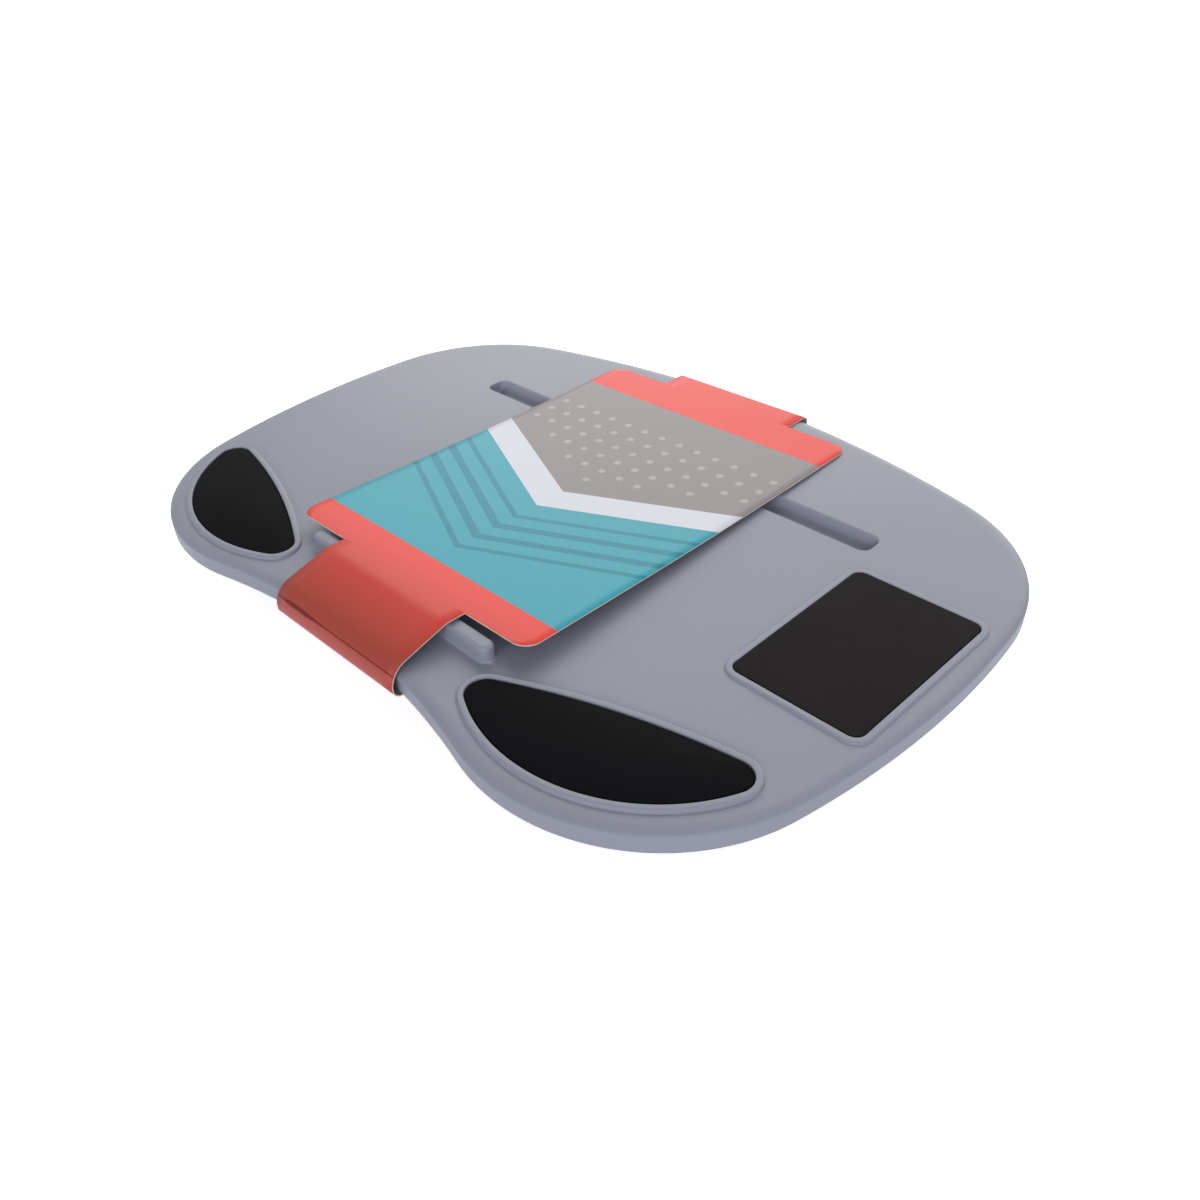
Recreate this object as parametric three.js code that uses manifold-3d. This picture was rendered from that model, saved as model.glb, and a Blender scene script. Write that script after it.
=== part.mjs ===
// Tablet lap tray: a moulded deck with two wrist rests, a mouse pad, a tablet groove and a keyboard
// stop bar. A screwed panel closes it from below, two lap cushions carry it, and a card sleeve goes
// round its middle from front to back and slides sideways.
//
// Millimetres, +Z up. X runs to the user's right and Y from the user's edge to the far edge. The
// origin is on the ground under the middle of the footprint.

import * as THREE from "three";
import { mergeVertices } from "three/addons/utils/BufferGeometryUtils.js";
import Module from "manifold-3d";

const wasm = await Module();
wasm.setup();

// Tray outline: back arc, corner arcs, side arcs, front lobes and a shallow waist between the lobes
const TRAY_WIDTH = 450;
const TRAY_DEPTH = 325;
const TRAY_HEIGHT = 12;
const BACK_RADIUS = 547;
const CORNER_RADIUS = 94.5;
const LOBE_RADIUS = 94.5;
const LOBE_INSET = 8;
const WAIST_DEPTH = 16.2;
const WIDEST_FROM_BACK = 155.5;

// Deck moulding
const RIM_REACH = 7;
const RIM_DROP = 2.5;
const FOOT_RADIUS = 2.5;
const DECK_WALL = 3;
const SKIRT_WALL = 4;
const BEAD_WIDTH = 3.4;
const BEAD_SQUARENESS = 3;
const PAD_BEAD_HEIGHT = 1.8;
const MOUSE_BEAD_HEIGHT = 1.2;
const POCKET_FLOOR = 1.6;
const POCKET_WALL = 2;
const RIB_WALL = 1.6;
const RIB_GAP = 0.5;
const RIB_ROWS_Y = [100, 150, 200, 285];
const RIB_COLUMNS_X = [-150, -90, -30, 30, 90, 150];

// Tablet groove
const GROOVE_LENGTH = 284;
const GROOVE_FLOOR = 11.4;
const GROOVE_DEPTH = 7.2;
const GROOVE_LEAN = 26;
const GROOVE_TO_BACK = 80.7;
const GROOVE_END_RADIUS = 5;
const GROOVE_FILLET = 2.2;
const GROOVE_LIP = 1.6;
const GROOVE_WALL = 1.9;

// Keyboard stop bar
const BAR_LENGTH = 139;
const BAR_WIDTH = 8.4;
const BAR_HEIGHT = 8.5;
const BAR_FRONT_Y = 44.4;
const BAR_END_RADIUS = 4;
const BAR_EDGE_RADIUS = 2.2;

// Wrist rests: a strongly curved front edge, a flatter back edge and small rounded ends
const PAD_FROM_SIDE = 86;
const PAD_Y = 39.4;
const PAD_TILT = 17.65;
const PAD_FRONT_RADIUS = 83;
const PAD_BACK_RADIUS = 357;
const PAD_BREADTH = 47.5;
const PAD_SKEW = 5;
const PAD_END_RADIUS = 9.3;
const PAD_POCKET_DEPTH = 1.6;
const PAD_EDGE_RISE = 1.5;
const PAD_EDGE_RADIUS = 1;
const PAD_CROWN = 3;
const PAD_COVER = 0.8;

// Mouse pad
const MOUSE_WIDTH = 64;
const MOUSE_LENGTH = 97.4;
const MOUSE_CORNER = 4.9;
const MOUSE_FROM_SIDE = 12.65;
const MOUSE_FROM_BACK = 160.5;
const MOUSE_POCKET_DEPTH = 1.2;
const MOUSE_RUBBER = 1.4;
const MOUSE_CLOTH = 0.6;
const ADHESIVE = 0.2;
const ADHESIVE_INSET = 2;

// Base panel and its screws
const PANEL_THICKNESS = 2.2;
const PANEL_RECESS = 0.4;
const SCREW_INSET = 16;
const SCREW_BACK_X = 80;
const SCREW_CORNER_ANGLE = 60;
const SCREW_HEAD_RADIUS = 3;
const SCREW_HEAD = 1;
const SCREW_RADIUS = 1.4;
const SCREW_GRIP = 4;
const SCREW_POINT = 0.8;
const SCREW_SEAT = 1;
const BOSS_WALL = 2;

// Lap cushions and the tapes that hold them
const CUSHION_HEIGHT = 30;
const CUSHION_WIDTH = 105;
const CUSHION_LENGTH = 215;
const CUSHION_INNER_X = 80;
const CUSHION_FRONT_Y = 52;
const CUSHION_SQUARENESS = 5;
const CUSHION_DRAW_IN = 3;
const CUSHION_MOUTH_INSET = 10;
const CUSHION_CROWN_INSET = 16;
const CUSHION_FABRIC = 1.2;
const TAPE_WIDTH = 25;
const TAPE_LENGTH = 140;
const TAPE_CORNER = 3;
const HOOK_TAPE = 1.4;
const LOOP_TAPE = 1.4;

// Card sleeve, which lies a little turned on the tray and sags behind the bar
const SLEEVE_CARD = 0.6;
const SLEEVE_SHIFT = -4.6;
const SLEEVE_TURN = 1.35;
const SLEEVE_PIVOT_Y = 163;
const STRAP_WIDTH = 93.4;
const PANEL_WIDTH = 174;
const PANEL_CORNER = 9;
const PANEL_BEHIND_BAR = 0.9;
const PANEL_TO_BACK = 17.8;
const FRONT_STANDOFF = 7.2;
const BACK_STANDOFF = 1.9;
const FRONT_LIFT = 2.3;
const BACK_LIFT = 0.5;
const UNDER_CLEARANCE = 0.4;
const CREST_AHEAD = 1.6;
const CREST_RISE = 2.3;
const CREST_RADIUS = 20;
const SAG_Y = 185;
const SAG_DEPTH = 2.5;
const SAG_RADIUS = 4000;
const FRONT_BEND = 12;
const BACK_BEND = 4.3;
const UNDER_FRONT_BEND = 5;
const UNDER_BACK_BEND = 2.5;
const LAP_FRONT_Y = 140;
const LAP_LENGTH = 50;
const LAP_TAPE = 0.2;
const LAP_TAPE_INSET = 4;

// Clearances and facet sizes
const FIT_GAP = 0.3;
const LAY_GAP = 0.1;
const OVERSHOOT = 1;
const CHORD_SAG = 0.15;
const ROUND_SIDES = 12;
const RIM_STEPS = 6;
const FOOT_STEPS = 3;
const BEAD_STEPS = 6;
const BAR_STEPS = 3;
const PAD_EDGE_STEPS = 2;
const PAD_CROWN_STEPS = 4;
const CUSHION_SIDES = 36;
const CUSHION_STEPS = 3;

// Heights, from the ground up
const LOOP_BOTTOM = CUSHION_HEIGHT + LAY_GAP;
const HOOK_BOTTOM = LOOP_BOTTOM + LOOP_TAPE + LAY_GAP;
const PANEL_BOTTOM = HOOK_BOTTOM + HOOK_TAPE + LAY_GAP;
const PANEL_TOP = PANEL_BOTTOM + PANEL_THICKNESS;
const TRAY_BOTTOM = PANEL_BOTTOM - PANEL_RECESS;
const DECK_TOP = TRAY_BOTTOM + TRAY_HEIGHT;
const DECK_MIDDLE = DECK_TOP - DECK_WALL / 2;

// Plan positions
const WIDEST_Y = TRAY_DEPTH - WIDEST_FROM_BACK;
const LOBE_X = TRAY_WIDTH / 2 - LOBE_INSET - LOBE_RADIUS;
const GROOVE_SLOPE = GROOVE_DEPTH * Math.tan(THREE.MathUtils.degToRad(GROOVE_LEAN));
const GROOVE_BACK_Y = TRAY_DEPTH - GROOVE_TO_BACK;
const GROOVE_FRONT_Y = GROOVE_BACK_Y - GROOVE_SLOPE - GROOVE_FLOOR;
const MOUSE_X = TRAY_WIDTH / 2 - MOUSE_FROM_SIDE - MOUSE_WIDTH / 2;
const MOUSE_Y = TRAY_DEPTH - MOUSE_FROM_BACK;
const STRAP_FRONT_Y = WAIST_DEPTH - FRONT_STANDOFF - SLEEVE_CARD / 2;
const STRAP_BACK_Y = TRAY_DEPTH + BACK_STANDOFF + SLEEVE_CARD / 2;
const SLEEVE_ANGLE = THREE.MathUtils.degToRad(SLEEVE_TURN);
const SLEEVE_BACK = new THREE.Vector2(STRAP_WIDTH / 2, STRAP_BACK_Y + SLEEVE_CARD / 2);
SLEEVE_BACK.rotateAround(new THREE.Vector2(0, SLEEVE_PIVOT_Y), SLEEVE_ANGLE);
const FOOTPRINT_DEPTH = SLEEVE_BACK.y;

// Outlines are chains of arcs, so a parallel outline only changes the radii

function arc(centre, radius, from, to) {
  const step = 2 * Math.acos(1 - CHORD_SAG / radius);
  return { centre, radius, from, to, steps: Math.max(1, Math.ceil(Math.abs(to - from) / step)) };
}

// The points of an arc but its last; an arc that turns clockwise is hollow and shrinks outwards
function arcPoints({ centre, radius, from, to, steps }, offset) {
  const grown = radius + Math.sign(to - from) * offset;
  return Array.from({ length: steps }, (_, i) => {
    const angle = from + ((to - from) * i) / steps;
    return new THREE.Vector2(centre.x + grown * Math.cos(angle), centre.y + grown * Math.sin(angle));
  });
}

function direction(from, to) {
  return Math.atan2(to.y - from.y, to.x - from.x);
}

// The crossing of two circles that lies to the left of the way from the first centre to the second
function circlesMeet(first, firstRadius, second, secondRadius) {
  const span = first.distanceTo(second);
  const along = (span ** 2 + firstRadius ** 2 - secondRadius ** 2) / (2 * span);
  const across = Math.sqrt(firstRadius ** 2 - along ** 2);
  const way = second.clone().sub(first).divideScalar(span);
  return new THREE.Vector2(
    first.x + way.x * along - way.y * across,
    first.y + way.y * along + way.x * across,
  );
}

function trayArcs() {
  const reach = TRAY_WIDTH / 2 - LOBE_X;
  const rise = WIDEST_Y - LOBE_RADIUS;
  const sideRadius = (reach ** 2 + rise ** 2 - LOBE_RADIUS ** 2) / (2 * (reach - LOBE_RADIUS));
  const hollow = LOBE_RADIUS - WAIST_DEPTH;
  const waistRadius = (LOBE_X ** 2 + hollow ** 2 - LOBE_RADIUS ** 2) / (2 * WAIST_DEPTH);
  const waist = new THREE.Vector2(0, WAIST_DEPTH - waistRadius);
  const lobe = new THREE.Vector2(LOBE_X, LOBE_RADIUS);
  const side = new THREE.Vector2(TRAY_WIDTH / 2 - sideRadius, WIDEST_Y);
  const back = new THREE.Vector2(0, TRAY_DEPTH - BACK_RADIUS);
  const corner = circlesMeet(side, sideRadius - CORNER_RADIUS, back, BACK_RADIUS - CORNER_RADIUS);
  const right = Math.PI / 2;
  const lobeStart = direction(waist, lobe);
  return {
    corner,
    back,
    chain: [
      arc(waist, waistRadius, right, lobeStart),
      arc(lobe, LOBE_RADIUS, lobeStart - Math.PI, direction(side, lobe)),
      arc(side, sideRadius, direction(side, lobe), direction(side, corner)),
      arc(corner, CORNER_RADIUS, direction(side, corner), direction(back, corner)),
      arc(back, BACK_RADIUS, direction(back, corner), right),
    ],
  };
}

const TRAY = trayArcs();

function trayOutline(offset) {
  const rightHalf = TRAY.chain.flatMap((piece) => arcPoints(piece, offset));
  const backMiddle = new THREE.Vector2(0, TRAY_DEPTH + offset);
  const leftHalf = rightHalf.slice(1).reverse();
  return [...rightHalf, backMiddle, ...leftHalf.map((point) => new THREE.Vector2(-point.x, point.y))];
}

// The right wrist rest, or the left one as its mirror image
function padOutline(side) {
  const front = new THREE.Vector2(0, PAD_FRONT_RADIUS - PAD_BREADTH / 2);
  const back = new THREE.Vector2(PAD_SKEW, PAD_BREADTH / 2 - PAD_BACK_RADIUS);
  const frontReach = PAD_FRONT_RADIUS - PAD_END_RADIUS;
  const backReach = PAD_BACK_RADIUS - PAD_END_RADIUS;
  const outer = circlesMeet(back, backReach, front, frontReach);
  const inner = circlesMeet(front, frontReach, back, backReach);
  const ends = outer.x > inner.x ? [outer, inner] : [inner, outer];
  const turn = (angle) => THREE.MathUtils.euclideanModulo(angle, 2 * Math.PI);
  const frontFrom = turn(direction(front, ends[1]));
  const frontTo = turn(direction(front, ends[0]));
  const backFrom = direction(back, ends[0]);
  const backTo = direction(back, ends[1]);
  const chain = [
    arc(front, PAD_FRONT_RADIUS, frontFrom, frontTo),
    arc(ends[0], PAD_END_RADIUS, frontTo - 2 * Math.PI, backFrom),
    arc(back, PAD_BACK_RADIUS, backFrom, backTo),
    arc(ends[1], PAD_END_RADIUS, backTo, frontFrom),
  ];
  const centre = padCentre(1);
  const tilt = THREE.MathUtils.degToRad(PAD_TILT);
  return (offset) => {
    const points = chain.flatMap((piece) => arcPoints(piece, offset));
    points.forEach((point) => point.rotateAround(new THREE.Vector2(), tilt).add(centre));
    return side > 0 ? points : points.reverse().map((point) => new THREE.Vector2(-point.x, point.y));
  };
}

function padCentre(side) {
  return new THREE.Vector2(side * (TRAY_WIDTH / 2 - PAD_FROM_SIDE), PAD_Y);
}

function rectangleOutline(centre, width, length, radius) {
  const across = width / 2 - radius;
  const along = length / 2 - radius;
  const corners = [[1, -1], [1, 1], [-1, 1], [-1, -1]];
  const chain = corners.map(([signX, signY], i) => {
    const corner = new THREE.Vector2(centre.x + signX * across, centre.y + signY * along);
    const from = ((i - 1) * Math.PI) / 2;
    return arc(corner, radius, from, from + Math.PI / 2);
  });
  return (offset) => chain.flatMap((piece) => {
    const end = new THREE.Vector2(Math.cos(piece.to), Math.sin(piece.to));
    return [...arcPoints(piece, offset), end.multiplyScalar(radius + offset).add(piece.centre)];
  });
}

// Solids from rings of points, stacked from low to high or closed on themselves like a hoop

function ring(points, height) {
  return points.map((point) => new THREE.Vector3(point.x, point.y, height));
}

function scaledRing(points, centre, share, height) {
  return points.map((point) => {
    const place = point.clone().sub(centre).multiplyScalar(share).add(centre);
    return new THREE.Vector3(place.x, place.y, height);
  });
}

function skin(rings, hoop = false) {
  const count = rings[0].length;
  const faces = [];
  const bands = hoop ? rings.length : rings.length - 1;
  for (let band = 0; band < bands; band += 1) {
    const low = band * count;
    const high = ((band + 1) % rings.length) * count;
    for (let i = 0; i < count; i += 1) {
      const next = (i + 1) % count;
      faces.push(low + i, low + next, high + next, low + i, high + next, high + i);
    }
  }
  if (!hoop) {
    const flat = (points) => THREE.ShapeUtils.triangulateShape(points, []);
    flat(rings[0]).forEach(([a, b, c]) => faces.push(a, c, b));
    const top = (rings.length - 1) * count;
    flat(rings.at(-1)).forEach(([a, b, c]) => faces.push(top + a, top + b, top + c));
  }
  const geometry = new THREE.BufferGeometry().setFromPoints(rings.flat());
  geometry.setIndex(faces);
  return geometry;
}

function prism(points, low, high) {
  return skin([ring(points, low), ring(points, high)]);
}

function profiled(outline, profile, hoop = false) {
  return skin(profile.map(([offset, height]) => ring(outline(offset), height)), hoop);
}

// Steps of a quarter ellipse from the side of a solid to its top, as offsets and heights
function roundedEdge({ reach, drop, height, steps, start = 0 }) {
  return Array.from({ length: steps + 1 }, (_, i) => {
    const angle = (Math.PI / 2) * (i / steps);
    return [start - reach * (1 - Math.cos(angle)), height - drop * (1 - Math.sin(angle))];
  });
}

// A cosine or sine drawn towards 1, which squares a circle that is made with it
function squared(share, squareness) {
  return Math.sign(share) * Math.abs(share) ** (2 / squareness);
}

// A cross-section in Y and Z, carried along X about the middle
function alongX(section, width) {
  const geometry = new THREE.ExtrudeGeometry(new THREE.Shape(section), { depth: width, bevelEnabled: false });
  geometry.translate(0, 0, -width / 2);
  const axes = [new THREE.Vector3(0, 1, 0), new THREE.Vector3(0, 0, 1), new THREE.Vector3(1, 0, 0)];
  return geometry.applyMatrix4(new THREE.Matrix4().makeBasis(...axes));
}

function cylinder(x, y, radius, low, high) {
  const geometry = new THREE.CylinderGeometry(radius, radius, high - low, ROUND_SIDES);
  return geometry.rotateX(Math.PI / 2).translate(x, y, (low + high) / 2);
}

// A path of straight runs with rounded corners; its first and last points have no radius
function roundedPath(corners) {
  const points = [];
  corners.forEach(({ at, radius }, i) => {
    if (!radius) {
      points.push(at.clone());
      return;
    }
    const arriving = at.clone().sub(corners[i - 1].at).normalize();
    const leaving = corners[i + 1].at.clone().sub(at).normalize();
    const turn = Math.atan2(arriving.cross(leaving), arriving.dot(leaving));
    const start = at.clone().addScaledVector(arriving, -radius * Math.tan(Math.abs(turn) / 2));
    const side = Math.sign(turn);
    const normal = new THREE.Vector2(-arriving.y, arriving.x).multiplyScalar(side * radius);
    const centre = start.clone().add(normal);
    const { steps } = arc(centre, radius, 0, turn);
    for (let step = 0; step <= steps; step += 1) {
      points.push(start.clone().rotateAround(centre, (turn * step) / steps));
    }
  });
  return points;
}

// The closed outline of a strip of even thickness that follows a path
function strip(path, thickness) {
  const sides = [thickness / 2, -thickness / 2].map((shift) => path.map((point, i) => {
    const before = path[Math.max(i - 1, 0)];
    const after = path[Math.min(i + 1, path.length - 1)];
    const arriving = point.clone().sub(before).normalize();
    const leaving = after.clone().sub(point).normalize();
    const way = arriving.clone().add(leaving).normalize();
    const mitre = shift / Math.max(way.dot(arriving), way.dot(leaving));
    return new THREE.Vector2(point.x - way.y * mitre, point.y + way.x * mitre);
  }));
  return [...sides[1], ...sides[0].reverse()];
}

// Joins and cuts

function solid(geometry) {
  geometry.deleteAttribute("normal");
  geometry.deleteAttribute("uv");
  const merged = mergeVertices(geometry);
  const index = merged.index.array;
  const triVerts = [];
  for (let i = 0; i < index.length; i += 3) {
    const [a, b, c] = index.slice(i, i + 3);
    if (a !== b && b !== c && c !== a) {
      triVerts.push(a, b, c);
    }
  }
  const vertProperties = new Float32Array(merged.attributes.position.array);
  const mesh = new wasm.Mesh({ numProp: 3, vertProperties, triVerts: new Uint32Array(triVerts) });
  return new wasm.Manifold(mesh);
}

function joined(geometries) {
  return geometries.map(solid).reduce((whole, piece) => whole.add(piece));
}

function surface(shape) {
  const mesh = shape.getMesh();
  const geometry = new THREE.BufferGeometry();
  geometry.setAttribute("position", new THREE.BufferAttribute(mesh.vertProperties, 3));
  geometry.setIndex(new THREE.BufferAttribute(mesh.triVerts, 1));
  return geometry;
}

// Finishes

function finish(colour, roughness, metalness = 0) {
  return new THREE.MeshStandardMaterial({ color: colour, roughness, metalness });
}

const FINISHES = {
  deck: finish(0xa0a3a9, 0.45),
  panel: finish(0x4a4c50, 0.6),
  screw: finish(0x8c8e90, 0.35, 1),
  wristKnit: finish(0x1a1a1c, 0.85),
  foam: finish(0x55565a, 0.95),
  adhesive: finish(0xd8d4c4, 0.5),
  mouseCloth: finish(0x262526, 0.9),
  rubber: finish(0x1c1c1c, 0.9),
  cushionFabric: finish(0x2c2d31, 0.95),
  fill: finish(0xe6e4de, 0.9),
  tape: finish(0x18181a, 0.95),
  card: finish(0xe5726e, 0.35),
};

const assembly = new THREE.Group();
assembly.position.set(0, -FOOTPRINT_DEPTH / 2, 0);

function place(name, geometry, material, parent = assembly) {
  const mesh = new THREE.Mesh(geometry, material);
  mesh.name = name;
  parent.add(mesh);
  return mesh;
}

const SIDES = [["left", -1], ["right", 1]];
const PAD_OUTLINES = { left: padOutline(-1), right: padOutline(1) };
const MOUSE_CENTRE = new THREE.Vector2(MOUSE_X, MOUSE_Y);
const MOUSE_OUTLINE = rectangleOutline(MOUSE_CENTRE, MOUSE_WIDTH, MOUSE_LENGTH, MOUSE_CORNER);

// Screw places: under each lobe, at each side, in each back corner and twice along the back
function screwPlaces() {
  const angle = THREE.MathUtils.degToRad(SCREW_CORNER_ANGLE);
  const cornerReach = CORNER_RADIUS - SCREW_INSET;
  const backReach = BACK_RADIUS - SCREW_INSET;
  const rightHalf = [
    [LOBE_X, SCREW_INSET],
    [TRAY_WIDTH / 2 - SCREW_INSET, WIDEST_Y],
    [TRAY.corner.x + cornerReach * Math.cos(angle), TRAY.corner.y + cornerReach * Math.sin(angle)],
    [SCREW_BACK_X, TRAY.back.y + Math.sqrt(backReach ** 2 - SCREW_BACK_X ** 2)],
  ];
  return [...rightHalf, ...rightHalf.map(([x, y]) => [-x, y])];
}

const SCREWS = screwPlaces();
const SCREW_TIP = PANEL_TOP + SCREW_GRIP;
const PILOT_RADIUS = SCREW_RADIUS + FIT_GAP;
const PILOT_TOP = SCREW_TIP + FIT_GAP;

// Deck

function bead({ outline, height }) {
  const half = BEAD_WIDTH / 2;
  const middle = FIT_GAP + half;
  const arch = Array.from({ length: BEAD_STEPS + 1 }, (_, i) => {
    const angle = (Math.PI * i) / BEAD_STEPS;
    const across = squared(Math.cos(angle), BEAD_SQUARENESS);
    const rise = squared(Math.sin(angle), BEAD_SQUARENESS);
    return [middle + half * across, DECK_TOP + height * rise];
  });
  return profiled(outline, [[middle + half, DECK_MIDDLE], ...arch, [middle - half, DECK_MIDDLE]], true);
}

function pocketPan({ outline, depth }) {
  return prism(outline(FIT_GAP + POCKET_WALL), DECK_TOP - depth - POCKET_FLOOR, DECK_MIDDLE);
}

function pocket({ outline, depth, height }) {
  return prism(outline(FIT_GAP), DECK_TOP - depth, DECK_TOP + height + OVERSHOOT);
}

function grooveSection() {
  const floor = DECK_TOP - GROOVE_DEPTH;
  const lipHeight = DECK_TOP + LAY_GAP / 4;
  const lipEnd = GROOVE_BACK_Y + 2 * GROOVE_LIP;
  return roundedPath([
    { at: new THREE.Vector2(GROOVE_FRONT_Y, DECK_TOP + OVERSHOOT) },
    { at: new THREE.Vector2(GROOVE_FRONT_Y, floor), radius: GROOVE_FILLET },
    { at: new THREE.Vector2(GROOVE_FRONT_Y + GROOVE_FLOOR, floor), radius: GROOVE_FILLET },
    { at: new THREE.Vector2(GROOVE_BACK_Y, lipHeight), radius: GROOVE_LIP },
    { at: new THREE.Vector2(lipEnd, lipHeight) },
    { at: new THREE.Vector2(lipEnd, DECK_TOP + OVERSHOOT) },
  ]);
}

function grooveOutline() {
  const backY = GROOVE_BACK_Y + GROOVE_LIP;
  const centre = new THREE.Vector2(0, (GROOVE_FRONT_Y + backY) / 2);
  return rectangleOutline(centre, GROOVE_LENGTH, backY - GROOVE_FRONT_Y, GROOVE_END_RADIUS);
}

function stopBar() {
  const centre = new THREE.Vector2(0, BAR_FRONT_Y + BAR_WIDTH / 2);
  const outline = rectangleOutline(centre, BAR_LENGTH, BAR_WIDTH, BAR_END_RADIUS);
  const edge = roundedEdge({
    reach: BAR_EDGE_RADIUS,
    drop: BAR_EDGE_RADIUS,
    height: DECK_TOP + BAR_HEIGHT,
    steps: BAR_STEPS,
  });
  return profiled(outline, [[0, DECK_MIDDLE], ...edge]);
}

function ribs() {
  const low = PANEL_TOP + RIB_GAP;
  const height = DECK_MIDDLE - low;
  const middle = (DECK_MIDDLE + low) / 2;
  const rows = RIB_ROWS_Y.map((y) => {
    return new THREE.BoxGeometry(TRAY_WIDTH, RIB_WALL, height).translate(0, y, middle);
  });
  const columns = RIB_COLUMNS_X.map((x) => {
    return new THREE.BoxGeometry(RIB_WALL, TRAY_DEPTH, height).translate(x, TRAY_DEPTH / 2, middle);
  });
  const inside = solid(prism(trayOutline(-SKIRT_WALL / 2), low - OVERSHOOT, DECK_TOP));
  return joined([...rows, ...columns]).intersect(inside);
}

function deck() {
  const rim = roundedEdge({ reach: RIM_REACH, drop: RIM_DROP, height: DECK_TOP, steps: RIM_STEPS });
  const foot = roundedEdge({ reach: FOOT_RADIUS, drop: -FOOT_RADIUS, height: TRAY_BOTTOM, steps: FOOT_STEPS });
  const body = profiled(trayOutline, [...foot.reverse(), ...rim]);
  const hollow = prism(trayOutline(-SKIRT_WALL), TRAY_BOTTOM - OVERSHOOT, DECK_TOP - DECK_WALL);
  const frames = [
    { outline: PAD_OUTLINES.left, depth: PAD_POCKET_DEPTH, height: PAD_BEAD_HEIGHT },
    { outline: PAD_OUTLINES.right, depth: PAD_POCKET_DEPTH, height: PAD_BEAD_HEIGHT },
    { outline: MOUSE_OUTLINE, depth: MOUSE_POCKET_DEPTH, height: MOUSE_BEAD_HEIGHT },
  ];
  const bosses = SCREWS.map(([x, y]) => {
    return cylinder(x, y, PILOT_RADIUS + BOSS_WALL, PANEL_TOP + LAY_GAP, DECK_MIDDLE);
  });
  const trough = prism(grooveOutline()(GROOVE_WALL), DECK_TOP - GROOVE_DEPTH - GROOVE_WALL, DECK_MIDDLE);
  const additions = joined([
    ...frames.map(bead),
    ...frames.map(pocketPan),
    ...bosses,
    stopBar(),
    trough,
  ]);
  const groovePrism = prism(grooveOutline()(0), DECK_TOP - GROOVE_DEPTH - OVERSHOOT, DECK_TOP + OVERSHOOT);
  const groove = solid(alongX(grooveSection(), GROOVE_LENGTH)).intersect(solid(groovePrism));
  const pilots = SCREWS.map(([x, y]) => cylinder(x, y, PILOT_RADIUS, PANEL_TOP - OVERSHOOT, PILOT_TOP));
  return solid(body)
    .subtract(solid(hollow))
    .add(ribs())
    .add(additions)
    .subtract(joined([...frames.map(pocket), ...pilots]))
    .subtract(groove);
}

place("deck_shell", surface(deck()), FINISHES.deck);

// Base panel and screws

function basePanel() {
  const inset = SKIRT_WALL + FIT_GAP;
  const sheet = solid(prism(trayOutline(-inset), PANEL_BOTTOM, PANEL_TOP));
  const seat = PANEL_TOP - SCREW_SEAT;
  const holes = SCREWS.flatMap(([x, y]) => [
    cylinder(x, y, PILOT_RADIUS, PANEL_BOTTOM - OVERSHOOT, PANEL_TOP + OVERSHOOT),
    cylinder(x, y, SCREW_HEAD_RADIUS + FIT_GAP, PANEL_BOTTOM - OVERSHOOT, seat),
  ]);
  return sheet.subtract(joined(holes));
}

function screw() {
  const headTop = PANEL_TOP - SCREW_SEAT - LAY_GAP;
  const headBottom = headTop - SCREW_HEAD;
  const profile = [
    [0, headBottom],
    [SCREW_HEAD_RADIUS, headBottom],
    [SCREW_HEAD_RADIUS, headTop],
    [SCREW_RADIUS, headTop],
    [SCREW_RADIUS, SCREW_TIP - SCREW_POINT],
    [0, SCREW_TIP],
  ];
  const points = profile.map(([radius, height]) => new THREE.Vector2(radius, height));
  return surface(solid(new THREE.LatheGeometry(points, ROUND_SIDES).rotateX(Math.PI / 2)));
}

place("base_panel", surface(basePanel()), FINISHES.panel);
SCREWS.forEach(([x, y], i) => {
  place(`base_screw_${i + 1}`, screw(), FINISHES.screw).position.set(x, y, 0);
});

// Wrist rests: a knit cover drawn over a crowned foam core, bonded into its pocket

function padForm(outline, centre, { inset, drop, bottom }) {
  const edgeTop = DECK_TOP + PAD_EDGE_RISE - drop;
  const edge = roundedEdge({
    reach: PAD_EDGE_RADIUS,
    drop: PAD_EDGE_RADIUS,
    height: edgeTop,
    steps: PAD_EDGE_STEPS,
    start: -inset,
  });
  const rim = outline(-inset - PAD_EDGE_RADIUS);
  const crown = Array.from({ length: PAD_CROWN_STEPS - 1 }, (_, i) => {
    const share = 1 - (i + 1) / PAD_CROWN_STEPS;
    return scaledRing(rim, centre, share, edgeTop + PAD_CROWN * (1 - share ** 2));
  });
  const walls = [[-inset, bottom], ...edge];
  return skin([...walls.map(([offset, height]) => ring(outline(offset), height)), ...crown]);
}

SIDES.forEach(([name, side]) => {
  const outline = PAD_OUTLINES[name];
  const centre = padCentre(side);
  const floor = DECK_TOP - PAD_POCKET_DEPTH;
  const glueBottom = floor + LAY_GAP;
  const bottom = glueBottom + ADHESIVE + LAY_GAP;
  const coreInset = PAD_COVER + FIT_GAP;
  const outside = padForm(outline, centre, { inset: 0, drop: 0, bottom });
  const inside = padForm(outline, centre, { inset: PAD_COVER, drop: PAD_COVER, bottom: bottom - OVERSHOOT });
  const core = padForm(outline, centre, { inset: coreInset, drop: coreInset, bottom });
  const glue = prism(outline(-ADHESIVE_INSET), glueBottom, glueBottom + ADHESIVE);
  place(`${name}_wrist_pad_cover`, surface(solid(outside).subtract(solid(inside))), FINISHES.wristKnit);
  place(`${name}_wrist_pad_foam`, core, FINISHES.foam);
  place(`${name}_wrist_pad_adhesive`, glue, FINISHES.adhesive);
});

// Mouse pad: cloth on a rubber base, bonded into its pocket

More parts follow.
